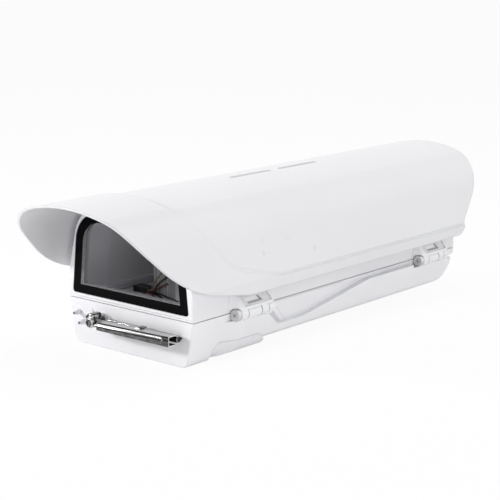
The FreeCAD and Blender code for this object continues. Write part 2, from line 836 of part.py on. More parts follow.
bind(sweep, "LengthRev", sweep_back)
bulges_cut = cut("bulges_cut", bulges, [front_ledge, rear_ledge, both_sides("sweeps", sweep)])

# Raised panel in the swept recess of each side
panel_side = prism("panel_side", "XZ_Plane", base_outline(), panel_front, panel_rear - panel_front,
                   -panel_rise)
panel_face = prism("panel_face", "YZ_Plane", [
    (panel_front, -panel_top), (panel_low_front, -panel_low, panel_radius),
    (panel_low_rear, -panel_low, panel_radius * 2), (panel_rear, -panel_top)],
    -bulge_wide, bulge_wide * 2)
panels = common("panels", panel_side, panel_face)

# Barrels on the base between those of the cover
first_end = set_front + knuckle_one
second_end = first_end + knuckle_two
third_end = second_end + knuckle_three
set_rear = third_end + knuckle_four
gap = knuckle_gap / 2
base_spans = [(first_end + gap, second_end - gap), (third_end + gap, set_rear)]
cover_spans = [(set_front, first_end - gap), (second_end + gap, third_end - gap)]


def barrels(name, radius, spans, slack=0):
    """Barrels of one set on the right side, lengthened by a slack at both ends."""
    found = []
    for i, (start, end) in enumerate(spans):
        base = (axis_half, start - slack, -axis_drop)
        found.append(rod(f"{name}_{i}", radius, end - start + as_size(slack) * 2, base))
    return found


def all_sets(name, source):
    """Repeat one set at the rear and on the other side."""
    right = group(name + "_right", [source, moved(name + "_rear", source, set_pitch)])
    return both_sides(name, right)


base_knuckles = barrels("base_barrel", barrel_radius, base_spans)
for i, (start, end) in enumerate(base_spans):
    base_knuckles.append(box(f"base_web_{i}", (bracket_root, start, -ledge_drop - 1),
                             (web_half, end, -axis_drop)))
base_sets = all_sets("base_sets", fuse("base_set", base_knuckles))
cover_room = fuse("cover_room", barrels("cover_room_rod", barrel_radius + barrel_clearance,
                                        cover_spans, knuckle_gap))
screw_line = rod("screw_line", screw_radius, set_rear - set_front + 2,
                 (axis_half, set_front - 1, -axis_drop))

# Hollow of the base, its mouth and the things that pass through its walls
hollow_long = prism("hollow_long", "YZ_Plane", [
    (front_wall, 0), (rear_wall - wall, 0), (rear_wall - wall, -pan_depth + wall, rear_radius - wall),
    (chin_length - wall, -pan_depth + wall), (chin_length - wall, -chin_roof + wall),
    (front_wall, -chin_roof + wall)], -half, body_width)
hollow_side = prism("hollow_side", "XZ_Plane", base_outline(), 0, body_length, wall)
base_hollow = common("base_hollow", hollow_long, hollow_side)
mouth_half = half - rim_width
base_mouth = prism("base_mouth", "XY_Plane", [
    (-mouth_half, mouth_front, tray_radius), (mouth_half, mouth_front, tray_radius),
    (mouth_half, rear_wall - rim_width, tray_radius),
    (-mouth_half, rear_wall - rim_width, tray_radius)], -wall * 2, wall * 2)


def seam_ring(name, inset, width, low, height):
    """Ring that follows the edge of the housing at the seam."""
    outer = prism(name + "_outer", "XY_Plane", plan_outline(), low, height, inset)
    inner = prism(name + "_inner", "XY_Plane", plan_outline(), low, height, as_size(inset) + width)
    return cut(name, outer, [inner])


groove = seam_ring("groove", groove_inset, groove_width, -seam - groove_depth, groove_depth + 1)
nozzle_one = (nozzle_one_x, -nozzle_one_drop)
nozzle_two = (nozzle_two_x, -nozzle_two_drop)
front_holes = [
    rod("bush_hole", bush_radius, front_wall + 2, (shaft_x, -1, -shaft_drop)),
    rod("nozzle_hole_one", nozzle_thread, front_wall + 2, (nozzle_one[0], -1, nozzle_one[1])),
    rod("nozzle_hole_two", nozzle_thread, front_wall + 2, (nozzle_two[0], -1, nozzle_two[1])),
    rod("plug_hole", nozzle_thread, front_wall + 2, (plug_x, -1, -plug_drop)),
]
gland_places = [-gland_pitch, as_size(0), gland_pitch]
floor_holes = []
for i, x in enumerate(gland_places):
    floor_holes.append(rod(f"gland_hole_{i}", gland_thread, wall + 2,
                           (x, gland_line, -pan_depth - 1), V(0, 0, 1)))
plate_screw_places = []
for side in (-1, 1):
    for along in (-1, 1):
        plate_screw_places.append((plate_screw_half * side,
                                   front_reach + plate_screw_pitch / 2 * along))
for i, (x, y) in enumerate(plate_screw_places):
    floor_holes.append(rod(f"plate_screw_hole_{i}", small_screw_radius, wall + 2,
                           (x, y, -pan_depth - 1), V(0, 0, 1)))
for i, side in enumerate((-1, 1)):
    floor_holes.append(rod(f"chin_screw_hole_{i}", small_screw_radius, wall + 2,
                           (chin_screw_half * side, chin_screw_front, -chin_roof - 1), V(0, 0, 1)))
tray_bosses = []
tray_boss_bores = []
tray_screw_places = []
for side in (-1, 1):
    for along in (0, 1):
        tray_screw_places.append((tray_boss_half * side, tray_boss_front + tray_boss_pitch * along))
for i, (x, y) in enumerate(tray_screw_places):
    tray_bosses.append(rod(f"tray_boss_{i}", tray_boss_radius, pan_depth - wall / 2 - tray_drop,
                           (x, y, -pan_depth + wall / 2), V(0, 0, 1)))
    tray_boss_bores.append(rod(f"tray_bore_{i}", small_screw_radius, pan_depth - wall * 2,
                               (x, y, -pan_depth + wall + 1), V(0, 0, 1)))



def chin_wrap(name, depth, inset):
    """Outside of the chin with its bulges, drawn in by an inset."""
    low = depth + inset
    foot = half - core_taper * low
    drawn_in = inset if float(inset) else None
    middle = prism(name + "_middle", "XZ_Plane", [
        (-half, 0), (half, 0), (foot, -low, chin_cover_radius), (-foot, -low, chin_cover_radius)],
        0, chin_length * 1.2, drawn_in)
    sides = prism(name + "_sides", "XZ_Plane", bulge_outline(low), 0, chin_length * 1.2, drawn_in)
    return fuse(name, [middle, common(name + "_flared", sides, flare(name + "_flare", inset, low))])


def chin_block(name, gap):
    """Side view of the chin cover, grown by a gap and taken right through."""
    return prism(name, "YZ_Plane", [
        (chin_cover_front, -chin_depth - 2), (chin_cover_front, -chin_cover_drop),
        (chin_cover_shoulder, -chin_cover_top, chin_cover_radius),
        (chin_cover_waist, -chin_cover_top, chin_cover_radius),
        (chin_cover_rear, -chin_cover_drop), (chin_cover_rear, -chin_depth - 2)],
        -bulge_wide, bulge_wide * 2, -gap if float(gap) else None)


chin_inner = chin_wrap("chin_inner", chin_roof, chin_cover_sheet + chin_cover_gap)
chin_rebate = cut("chin_rebate", chin_block("chin_room", chin_cover_gap), [chin_inner])
base_solid = fuse("base_solid", [core_soft, bulges_cut, panels])
base_open = cut("base_open", base_solid, [
    base_hollow, base_mouth, groove, all_sets("cover_rooms", cover_room), chin_rebate])
base_full = fuse("base_full", [base_open, base_sets] + tray_bosses)
base_shell = cut("base_shell", base_full,
                 [all_sets("screw_lines", screw_line)] + front_holes + floor_holes + tray_boss_bores)
keep(base_shell, "base_shell")
keep(seam_ring("base_gasket", groove_inset + (groove_width - gasket_width) / 2, gasket_width,
               -seam - groove_depth, gasket_height), "base_gasket")

# Chin cover: a thin shell that wraps the wiper compartment and shows on both sides
chin_outside = common("chin_outside", chin_wrap("chin_outer", chin_cover_depth, 0),
                      chin_block("chin_outline", 0))
chin_holes = []
for i, side in enumerate((-1, 1)):
    chin_holes.append(rod(f"chin_cover_hole_{i}", small_screw_radius, chin_depth - chin_roof + 2,
                          (chin_screw_half * side, chin_screw_front, -chin_depth), V(0, 0, 1)))
keep(cut("chin_cover", chin_outside, [
    chin_wrap("chin_inside", chin_roof + chin_cover_gap, chin_cover_sheet)] + chin_holes),
    "chin_cover")


def small_screw(name, x, y, z, length, up=1):
    """Small pan-head screw; z is the seat of its head and its shank runs up or down from there."""
    return turned(name, [
        (length, 0), (length, small_screw_radius), (0, small_screw_radius), (0, small_head_radius),
        (-small_head_height, small_head_radius, head_chamfer), (-small_head_height, 0)],
        x, y, z, V(0, 0, up))


keep(group("chin_screws", [
    small_screw(f"chin_screw_{i}", chin_screw_half * side, chin_screw_front, -chin_cover_depth,
                chin_cover_depth - chin_roof + wall) for i, side in enumerate((-1, 1))]),
    "chin_screws")

# Mounting plate under the middle, with four tapped holes
plate_outline = [(-plate_half, front_reach - plate_length / 2, plate_radius),
                 (plate_half, front_reach - plate_length / 2, plate_radius),
                 (plate_half, front_reach + plate_length / 2, plate_radius),
                 (-plate_half, front_reach + plate_length / 2, plate_radius)]
plate_block = prism("plate_block", "XY_Plane", plate_outline, -chin_depth, chin_depth - pan_depth)
plate_bores = []
for side in (-1, 1):
    for along in (-1, 1):
        plate_bores.append(rod(f"mount_bore_{side + 1}{along + 1}", mount_hole_radius, chin_depth,
                               (mount_spacing_x / 2 * side, front_reach + mount_spacing_y / 2 * along,
                                -chin_depth - 1), V(0, 0, 1)))
for i, (x, y) in enumerate(plate_screw_places):
    plate_bores.append(rod(f"plate_bore_{i}", small_screw_radius, plate_grip + 1,
                           (x, y, -pan_depth - plate_grip), V(0, 0, 1)))
keep(cut("mount_plate", plate_block, plate_bores), "mount_plate")
floor = -pan_depth + wall
keep(group("mount_plate_screws", [
    small_screw(f"plate_screw_{i}", x, y, floor, wall + plate_grip - 1, -1)
    for i, (x, y) in enumerate(plate_screw_places)]), "mount_plate_screws")

# Cable glands under the rear: threaded body, domed cap and locknut inside
gland_bodies = []
gland_caps = []
locknuts = []
for i, x in enumerate(gland_places):
    gland_bodies.append(turned(f"gland_body_{i}", [
        (-gland_inside - wall, gland_bore), (-gland_inside - wall, gland_thread),
        (0, gland_thread), (0, gland_radius), (gland_flange, gland_radius),
        (gland_flange, gland_thread), (gland_flange * 2, gland_thread), (gland_flange * 2, gland_bore)],
        x, gland_line, -pan_depth, V(0, 0, -1)))
    gland_caps.append(turned(f"gland_cap_{i}", [
        (gland_flange, gland_thread), (gland_flange, gland_cap_radius),
        (gland_flange + gland_cap_height, gland_cap_radius, gland_cap_chamfer),
        (gland_flange + gland_cap_height, gland_bore), (gland_flange * 2, gland_bore),
        (gland_flange * 2, gland_thread)], x, gland_line, -pan_depth, V(0, 0, -1)))
    locknuts.append(turned(f"gland_nut_{i}", [
        (0, gland_thread), (0, locknut_radius), (locknut_height, locknut_radius),
        (locknut_height, gland_thread)], x, gland_line, floor, V(0, 0, 1)))
gland_plugs = []
for i, x in enumerate(gland_places):
    gland_plugs.append(turned(f"gland_plug_{i}", [
        (-gland_inside - wall, 0), (-gland_inside - wall, gland_bore),
        (gland_flange + gland_cap_height + gland_plug_rise, gland_bore, head_chamfer),
        (gland_flange + gland_cap_height + gland_plug_rise, 0)], x, gland_line, -pan_depth,
        V(0, 0, -1)))
keep(group("gland_plugs", gland_plugs), "gland_plugs")
keep(group("gland_bodies", gland_bodies), "gland_bodies")
keep(group("gland_caps", gland_caps), "gland_caps")
keep(group("gland_locknuts", locknuts), "gland_locknuts")

# Cover shell with the front frame round the window
def cover_outline():
    return [(-half, seam), (half, seam), (cover_knee_half, cover_knee_height, cover_knee_radius),
            (cover_top_half, cover_height, cover_top_radius),
            (-cover_top_half, cover_height, cover_top_radius),
            (-cover_knee_half, cover_knee_height, cover_knee_radius)]


def glass_outline():
    return [(-glass_foot_half, glass_low, glass_foot_radius),
            (glass_foot_half, glass_low, glass_foot_radius),
            (glass_head_half, glass_high, glass_head_radius),
            (-glass_head_half, glass_high, glass_head_radius)]


def sight_outline():
    return [(-sight_foot_half, sight_low, sight_foot_radius),
            (sight_foot_half, sight_low, sight_foot_radius),
            (sight_head_half, sight_high, sight_head_radius),
            (-sight_head_half, sight_high, sight_head_radius)]


cover_block = common("cover_block",
                     prism("cover_side", "XZ_Plane", cover_outline(), 0, body_length),
                     prism("cover_plan", "XY_Plane", plan_outline(), 0, cover_height + 1))
cover_soft = rounded("cover_soft", cover_block, edge_radius, front_edge)
glass_back = glass_setback + glass_thickness
seal_back = glass_back + seal_thickness
frame_back = seal_back + ledge_thickness
cover_hollow = prism("cover_hollow", "XZ_Plane", cover_outline(), frame_back,
                     body_length - wall - frame_back, wall)
cover_mouth = prism("cover_mouth", "XY_Plane", [
    (-mouth_half, mouth_front, tray_radius), (mouth_half, mouth_front, tray_radius),
    (mouth_half, body_length - rim_width, tray_radius),
    (-mouth_half, body_length - rim_width, tray_radius)], 0, wall * 2)
glass_pocket = prism("glass_pocket", "XZ_Plane", glass_outline(), -1, seal_back + 1,
                     -glass_clearance)
sight_opening = prism("sight_opening", "XZ_Plane", sight_outline(), -1, frame_back + 2)
front_step = box("front_step", (-bulge_half, -1, step_height),
                 (bulge_half, step_depth, step_height + step_width))
shield_screw_places = []
for side in (-1, 1):
    for along in (0, 1):
        shield_screw_places.append((spacer_half * side, spacer_front + spacer_pitch * along))
roof_holes = []
for i, (x, y) in enumerate(shield_screw_places):
    roof_holes.append(rod(f"roof_hole_{i}", shield_screw_radius, wall * 3,
                          (x, y, cover_height - wall * 2), V(0, 0, 1)))
cover_open = cut("cover_open", cover_soft,
                 [cover_hollow, cover_mouth, glass_pocket, sight_opening, front_step] + roof_holes)

# Brackets that run down from the cover to its barrels
bracket_lean = (bracket_reach - bracket_shoulder) / bracket_height


def bracket_face(z, depth=0):
    return bracket_reach - bracket_lean * z - depth


bracket_wedge = prism("bracket_wedge", "XZ_Plane", [
    (bracket_root, bracket_height), (bracket_shoulder, bracket_height), (bracket_reach, 0),
    (bracket_reach, -axis_drop), (axis_half, -axis_drop), (bracket_root, wall)],
    bracket_front, bracket_rear - bracket_front)
bracket_plan = prism("bracket_plan", "XY_Plane", [
    (bracket_root, bracket_front), (bracket_shoulder, bracket_front),
    (bracket_reach, bracket_front + screw_head_length + bracket_nose_run),
    (bracket_reach, bracket_rear - wall),
    (bracket_shoulder, bracket_rear), (bracket_root, bracket_rear)], -wall * 2,
    bracket_height + wall * 2)
recess_side = prism("recess_side", "YZ_Plane", [
    (recess_front, recess_low, 1), (recess_front + recess_length, recess_low, 1),
    (recess_front + recess_length - recess_lean, bracket_height - wall),
    (recess_front - recess_lean, bracket_height - wall)], bracket_root - 2, half)
recess_deep = prism("recess_deep", "XZ_Plane", [
    (bracket_face(recess_low, bracket_recess), recess_low), (bracket_reach * 1.2, recess_low),
    (bracket_reach * 1.2, bracket_height), (bracket_face(bracket_height, bracket_recess),
                                            bracket_height)], bracket_front, set_rear - bracket_front + 5)
eyelet_side = prism("eyelet_side", "YZ_Plane", [
    (eyelet_front, eyelet_low), (eyelet_front + eyelet_length, eyelet_low),
    (eyelet_front + eyelet_length - eyelet_lean, eyelet_high),
    (eyelet_front - eyelet_lean, eyelet_high)], bracket_root - 2, half)
eyelet_deep = prism("eyelet_deep", "XZ_Plane", [
    (bracket_face(eyelet_low, bracket_slot), eyelet_low), (bracket_reach * 1.2, eyelet_low),
    (bracket_reach * 1.2, eyelet_high), (bracket_face(eyelet_high, bracket_slot), eyelet_high)],
    bracket_front, set_rear - bracket_front + 5)
base_room = barrels("base_room_rod", barrel_radius + barrel_clearance, base_spans, knuckle_gap)
head_room = rod("head_room", screw_head_radius + head_clearance, set_front - bracket_front + 1,
                (axis_half, bracket_front - 1, -axis_drop))
bracket_cut = cut("bracket_cut", common("bracket_whole", bracket_wedge, bracket_plan), [
    common("recess", recess_side, recess_deep), common("eyelet", eyelet_side, eyelet_deep),
    head_room] + base_room)
bracket = fuse("bracket", [bracket_cut] + barrels("cover_barrel", barrel_radius, cover_spans))
pin_bore = rod("pin_bore", screw_radius + screw_clearance, set_rear - set_front + 2,
               (axis_half, set_front - 1, -axis_drop))
hook_bore = rod("hook_bore", screw_radius + hook_clearance, set_rear - set_front + 2,
                (-axis_half, set_front - 1, -axis_drop))
hook_slot = box("hook_slot", (-axis_half - screw_radius - hook_clearance, set_front - 1,
                              -axis_drop - barrel_radius - 2),
                (-axis_half + screw_radius + hook_clearance, set_rear + 1, -axis_drop))
hinge_bracket = cut("hinge_bracket", bracket, [pin_bore])
latch_bracket = cut("latch_bracket", mirrored("bracket_left", bracket), [hook_bore, hook_slot])
cover_shell = fuse("cover_shell", [
    cover_open, hinge_bracket, moved("hinge_bracket_rear", hinge_bracket, set_pitch),
    latch_bracket, moved("latch_bracket_rear", latch_bracket, set_pitch)])
keep(cover_shell, "cover_shell")


def pin_screw(name, x, y):
    """Headed screw through one row of barrels."""
    return turned(name, [
        (set_rear - set_front, 0), (set_rear - set_front, screw_radius), (0, screw_radius),
        (-gap, screw_radius), (-gap, screw_head_radius),
        (-gap - screw_head_length, screw_head_radius, head_chamfer),
        (-gap - screw_head_length, screw_socket_radius),
        (-gap - screw_head_length + screw_socket_depth, screw_socket_radius),
        (-gap - screw_head_length + screw_socket_depth, 0)], x, y, -axis_drop)


keep(group("hinge_screws", [pin_screw("hinge_screw_front", axis_half, set_front),
                            pin_screw("hinge_screw_rear", axis_half, set_front + set_pitch)]),
     "hinge_screws")
keep(group("latch_screws", [pin_screw("latch_screw_front", -axis_half, set_front),
                            pin_screw("latch_screw_rear", -axis_half, set_front + set_pitch)]),
     "latch_screws")

# Window pane and the black seal behind its edge
keep(prism("window_glass", "XZ_Plane", glass_outline(), glass_setback, glass_thickness),
     "window_glass")
keep(cut("window_seal", prism("seal_outer", "XZ_Plane", glass_outline(), glass_back,
                              seal_thickness),
         [prism("seal_inner", "XZ_Plane", sight_outline(), glass_back - 1, seal_thickness + 2)]),
     "window_seal")

# Sunshield: a barrel with a forward visor and a side skirt that stand proud of it along a crease
def shield_outline():
    return [(shield_half, -chin_depth), (shield_half, shield_knee),
            (shield_shoulder_half, shield_shoulder_height, shield_shoulder_radius),
            (0, shield_apex, shield_top_radius),
            (-shield_shoulder_half, shield_shoulder_height, shield_shoulder_radius),
            (-shield_half, shield_knee), (-shield_half, -chin_depth)]


def crease_outline(drop, shift):
    """Side view of the proud part, drawn in from the crease."""
    return [(-visor_reach * 1.2, shield_apex + 20), (crease_start - shift, shield_apex + 20),
            (crease_start - shift, crease_brow - drop, crease_brow_radius),
            (crease_turn - shift, crease_waist - drop, crease_waist_radius),
            (crease_end, crease_height + crease_fall - drop, crease_end_radius),
            (shield_rear + 20, crease_height - drop),
            (shield_rear + 20, -chin_depth), (-visor_reach * 1.2, -chin_depth)]


def shield_side(name):
    """Whole side view: visor rim, lower edge and flared rear edge."""
    return prism(name, "YZ_Plane", [
        (-visor_reach, shield_apex), (-visor_reach, rim_top),
        (-visor_reach + rim_set, rim_brow, rim_brow_radius),
        (-rim_turn, rim_waist, rim_waist_radius), (rim_foot, shield_edge, rim_foot_radius),
        (shield_rear_foot, shield_edge, rear_foot_radius),
        (shield_rear_foot + rear_step, rear_knee, rear_knee_radius),
        (rear_shoulder, rear_shoulder_height, rear_shoulder_radius),
        (rear_neck, rear_neck_height, rear_neck_radius),
        (shield_rear, rear_top), (shield_rear, shield_apex)], -shield_half * 1.1, shield_half * 2.2)


shield_start = -visor_reach * 1.2
shield_run = shield_rear - shield_start + 10
barrel_outer = prism("barrel_outer", "XZ_Plane", shield_outline(), shield_start, shield_run,
                     barrel_inset)
barrel_inner = prism("barrel_inner", "XZ_Plane", shield_outline(), shield_start, shield_run,
                     barrel_inset + shield_wall)
skirt_outer = common("skirt_outer",
                     prism("skirt_block", "XZ_Plane", shield_outline(), shield_start, shield_run),
                     prism("skirt_side", "YZ_Plane", crease_outline(0, 0), -shield_half * 1.1,
                           shield_half * 2.2))
skirt_middle = common("skirt_middle",
                      prism("middle_block", "XZ_Plane", shield_outline(), shield_start, shield_run,
                            barrel_inset / 2),
                      prism("middle_side", "YZ_Plane", crease_outline(-crease_width / 2, -crease_width),
                            -shield_half * 1.1, shield_half * 2.2))
skirt_inner = common("skirt_inner",
                     prism("inner_block", "XZ_Plane", shield_outline(), shield_start, shield_run,
                           shield_wall),
                     prism("inner_side", "YZ_Plane", crease_outline(crease_width, crease_width),
                           -shield_half * 1.1, shield_half * 2.2))
shield_outside = fuse("shield_outside", [barrel_outer, skirt_middle, skirt_outer])
shield_hollow = fuse("shield_hollow", [barrel_inner, skirt_inner])
shield_form = common("shield_form", cut("shield_skin", shield_outside, [shield_hollow]),
                     shield_side("shield_edges"))
bosses = []
boss_bores = []
for i, (x, y) in enumerate(shield_screw_places):
    bosses.append(rod(f"shield_boss_{i}", spacer_radius, boss_head - boss_face, (x, y, boss_face),
                      V(0, 0, 1)))
    boss_bores.append(rod(f"shield_bore_{i}", shield_screw_radius, boss_head - boss_face - 1,
                          (x, y, boss_face - 1), V(0, 0, 1)))
top_slots = []
for i in range(2):
    top_slots.append(prism(f"top_slot_{i}", "XY_Plane", [
        (-slot_width / 2, slot_front + slot_pitch * i, slot_radius),
        (slot_width / 2, slot_front + slot_pitch * i, slot_radius),
        (slot_width / 2, slot_front + slot_pitch * i + slot_length, slot_radius),
        (-slot_width / 2, slot_front + slot_pitch * i + slot_length, slot_radius)],
        slot_floor, slot_drop))
sunshield = cut("sunshield", fuse("shield_whole", [shield_form] + bosses), boss_bores + top_slots)
keep(sunshield, "sunshield")

# Spacers and screws between cover and sunshield
keep(group("shield_spacers", [turned(f"shield_spacer_{i}", [
    (0, shield_screw_radius), (0, spacer_radius), (boss_face - cover_height, spacer_radius),
    (boss_face - cover_height, shield_screw_radius)], x, y, cover_height, V(0, 0, 1))
    for i, (x, y) in enumerate(shield_screw_places)]), "shield_spacers")
keep(group("shield_screws", [turned(f"shield_screw_{i}", [
    (shield_screw_length, 0), (shield_screw_length, shield_screw_radius), (0, shield_screw_radius),
    (0, shield_screw_head), (-shield_screw_height, shield_screw_head, head_chamfer),
    (-shield_screw_height, 0)], x, y, cover_height - wall, V(0, 0, 1))
    for i, (x, y) in enumerate(shield_screw_places)]), "shield_screws")

# Camera tray on the four bosses, with its screws
tray_body = new_body("tray_body")
tray_plan = sketch_on(tray_body, "tray_plan", "XY_Plane")
draw_outline(tray_plan, [(-tray_half, tray_front, tray_radius), (tray_half, tray_front, tray_radius),
                         (tray_half, tray_rear, tray_radius), (-tray_half, tray_rear, tray_radius)])
pad(tray_body, tray_plan, tray_thickness)
tray_slots = sketch_on(tray_body, "tray_slots", "XY_Plane")
cable_slot_left = cable_slot_inset - tray_half
draw_outline(tray_slots, [
    (-camera_slot_width / 2, camera_slot_front), (camera_slot_width / 2, camera_slot_front),
    (camera_slot_width / 2, camera_slot_front + camera_slot_length),
    (-camera_slot_width / 2, camera_slot_front + camera_slot_length)])
draw_outline(tray_slots, [
    (cable_slot_left, cable_slot_front, slot_radius),
    (cable_slot_left + cable_slot_width, cable_slot_front, slot_radius),
    (cable_slot_left + cable_slot_width, cable_slot_front + cable_slot_length, slot_radius),
    (cable_slot_left, cable_slot_front + cable_slot_length, slot_radius)])
for x, y in tray_screw_places:
    draw_circle(tray_slots, x, y, small_screw_radius)
pocket(tray_body, tray_slots, tray_thickness, True)
keep(place(tray_body, 0, 0, -tray_drop), "camera_tray")
tray_top = tray_thickness - tray_drop
keep(group("tray_screws", [
    small_screw(f"tray_screw_{i}", x, y, tray_top, tray_thickness * 5, -1)
    for i, (x, y) in enumerate(tray_screw_places)]), "tray_screws")

# Bent sheet bracket that carries the camera, screwed through the long slot of the tray
bracket_turns = [(-bracket_left, bracket_back), (-bracket_left, bracket_bend, 6),
                 (bracket_lead, bracket_nose, 30), (bracket_right, bracket_bend - 4, 12),
                 (bracket_right, bracket_back)]
sheet_outer = prism("sheet_outer", "XY_Plane", bracket_turns, tray_top, bracket_tall)
sheet_inner = prism("sheet_inner", "XY_Plane", bracket_turns, tray_top + bracket_sheet,
                    bracket_tall, bracket_sheet)
sheet_back = box("sheet_back", (-bracket_left + bracket_sheet, bracket_back - bracket_sheet * 2,
                                tray_top + bracket_sheet),
                 (bracket_right - bracket_sheet, bracket_back + 1, bracket_tall))
camera_hole = rod("camera_hole", camera_screw_radius, bracket_sheet + 2,
                  (0, camera_screw_line, tray_top - 1), V(0, 0, 1))
keep(cut("camera_bracket", sheet_outer, [sheet_inner, sheet_back, camera_hole]), "camera_bracket")
keep(turned("camera_screw", [
    (tray_thickness + camera_stud, 0), (tray_thickness + camera_stud, camera_screw_radius),
    (0, camera_screw_radius), (0, camera_head_radius),
    (-camera_head_height, camera_head_radius, head_chamfer), (-camera_head_height, 0)],
    0, camera_screw_line, -tray_drop, V(0, 0, 1)), "camera_screw")

# Wiper drive: gearbox with an offset output, and its motor
drive_front = front_wall
gearbox_solid = rod("gearbox_solid", gearbox_radius, gearbox_length,
                    (shaft_x, drive_front, -drive_drop))
shaft_room = rod("shaft_room", shaft_radius + screw_clearance, shaft_inside - drive_front + 2,
                 (shaft_x, drive_front - 1, -shaft_drop))
keep(cut("wiper_gearbox", gearbox_solid, [shaft_room]), "wiper_gearbox")
keep(turned("wiper_motor", [
    (0, 0), (0, motor_radius, head_chamfer), (motor_length, motor_radius, head_chamfer * 2),
    (motor_length, motor_cap_radius), (motor_length + motor_cap, motor_cap_radius),
    (motor_length + motor_cap, 0)], shaft_x, drive_front + gearbox_length, -drive_drop),
    "wiper_motor")
keep(turned("shaft_bush", [
    (-bush_flange, shaft_radius + screw_clearance), (-bush_flange, bush_flange_radius, trim_chamfer),
    (0, bush_flange_radius), (0, bush_radius), (front_wall, bush_radius),
    (front_wall, shaft_radius + screw_clearance)], shaft_x, 0, -shaft_drop), "shaft_bush")

# Washer nozzles with their nuts, and the small plug beside them
nozzles = []
nozzle_nuts = []
for i, (x, z) in enumerate((nozzle_one, nozzle_two)):
    nozzles.append(turned(f"nozzle_{i}", [
        (-nozzle_length, nozzle_bore), (-nozzle_length, nozzle_tip_radius),
        (-nozzle_length + nozzle_tip, nozzle_tip_radius),
        (-nozzle_length + nozzle_tip, nozzle_radius, trim_chamfer),
        (0, nozzle_radius), (0, nozzle_thread), (nozzle_inside, nozzle_thread),
        (nozzle_inside, nozzle_bore)], x, 0, z))
    nozzle_nuts.append(turned(f"nozzle_nut_{i}", [
        (0, nozzle_thread), (0, nozzle_nut_radius), (nozzle_nut_height, nozzle_nut_radius),
        (nozzle_nut_height, nozzle_thread)], x, front_wall, z))
keep(group("washer_nozzles", nozzles), "washer_nozzles")
keep(group("nozzle_nuts", nozzle_nuts), "nozzle_nuts")
keep(turned("front_plug", [
    (-plug_rise, 0), (-plug_rise, plug_radius, trim_chamfer), (0, plug_radius), (0, nozzle_thread),
    (front_wall + 1, nozzle_thread), (front_wall + 1, 0)], plug_x, 0, -plug_drop), "front_plug")

# Wiper shaft with the hub clamped on it by a nut
keep(rod("wiper_shaft", shaft_radius, shaft_front + shaft_inside,
         (shaft_x, -shaft_front, -shaft_drop)), "wiper_shaft")
keep(turned("hub_nut", [
    (-hub_front - nut_thickness, shaft_radius), (-hub_front - nut_thickness, nut_radius - 1),
    (-hub_front - nut_thickness * 0.75, nut_radius), (-hub_front, nut_radius),
    (-hub_front, shaft_radius)], shaft_x, 0, -shaft_drop), "hub_nut")
hub_block = prism("hub_block", "XZ_Plane", [
    (-hub_left, -hub_low, hub_radius), (-hub_right, -hub_low, 2), (-hub_right, -hub_high, 2),
    (-hub_left, -hub_high, hub_radius)], -hub_front, hub_front - hub_back)
arm_middle_drop = (arm_left_low + arm_left_high) / 2
tongue_front = tongue_setback - hub_front
hub_tongue = box("hub_tongue", (-hub_right - 2, tongue_front, -arm_middle_drop - tongue_half),
                 (-tongue_end, -tongue_back, -arm_middle_drop + tongue_half))
hub_bore = rod("hub_bore", shaft_radius, hub_front + 2, (shaft_x, -hub_front - 1, -shaft_drop))
pivot_bore = rod("pivot_bore", pivot_radius, hub_low, (pivot_x, pivot_y, -hub_low - 4), V(0, 0, 1))
ear_room = fuse("ear_room", [
    rod("ear_room_low", ear_radius + ear_gap, 10,
        (pivot_x, pivot_y, -arm_middle_drop - tongue_half - 10), V(0, 0, 1)),
    rod("ear_room_high", ear_radius + ear_gap, 10,
        (pivot_x, pivot_y, -arm_middle_drop + tongue_half), V(0, 0, 1))])
keep(cut("wiper_hub", fuse("hub_whole", [hub_block, hub_tongue]),
         [hub_bore, pivot_bore, ear_room]), "wiper_hub")
pin_low = arm_left_low + pin_proud
pin_high = arm_left_high - pin_proud
keep(rod("arm_pivot_pin", pivot_radius, pin_low - pin_high, (pivot_x, pivot_y, -pin_low),
         V(0, 0, 1)), "arm_pivot_pin")
keep(box("arm_spring", (pivot_x + pivot_radius, tongue_front - spring_thickness,
                        -arm_middle_drop - tongue_half + spring_thickness),
         (-spring_end, tongue_front, -arm_middle_drop + tongue_half - spring_thickness)),
     "arm_spring")

# Wiper arm: a pressed channel, open to the rear, with a rib along its face
channel_outline = [(-arm_start, -arm_left_low), (arm_end, -arm_right_low),
                   (arm_end, -arm_right_high), (-arm_start, -arm_left_high)]
channel_block = prism("channel_block", "XZ_Plane", channel_outline, -arm_front,
                      arm_front - arm_back)
channel_room = prism("channel_room", "XZ_Plane", [
    (-arm_start - 5, -arm_left_low + arm_sheet), (arm_end + 5, -arm_right_low + arm_sheet),
    (arm_end + 5, -arm_right_high - arm_sheet), (-arm_start - 5, -arm_left_high - arm_sheet)],
    -arm_front + arm_sheet, arm_front)
rib = rod("rib", rib_radius, arm_start + rib_end, (-arm_start, -arm_front, -rib_drop),
          V(float(arm_start + rib_end), 0, float(rib_rise)))
rib_tip = doc.addObject("Part::Sphere", "rib_tip")
bind(rib_tip, "Radius", rib_radius)
place(rib_tip, rib_end, -arm_front, -rib_drop + rib_rise)
rib_back = box("rib_back", (-arm_start - 5, -arm_front + arm_sheet, -arm_left_low),
               (arm_end, -arm_front + 10, 0))
rib_shown = cut("rib_shown", fuse("rib_whole", [rib, rib_tip]), [rib_back])
ears = []
for i, low in enumerate((-arm_left_low, -arm_left_high - arm_sheet)):
    ears.append(rod(f"ear_{i}", ear_radius, arm_sheet, (pivot_x, pivot_y, low), V(0, 0, 1)))
    ears.append(box(f"ear_strip_{i}", (pivot_x, pivot_y - ear_radius, low),
                    (-arm_start + 1, -arm_back, low + arm_sheet)))
arm_holes = [
    rod("ear_bore", pivot_radius + screw_clearance, hub_low, (pivot_x, pivot_y, -hub_low - 4),
        V(0, 0, 1)),
    rod("rivet_bore", rivet_radius, 8, (rivet_x, rivet_y, -arm_left_high - 2), V(0, 0, 1))]
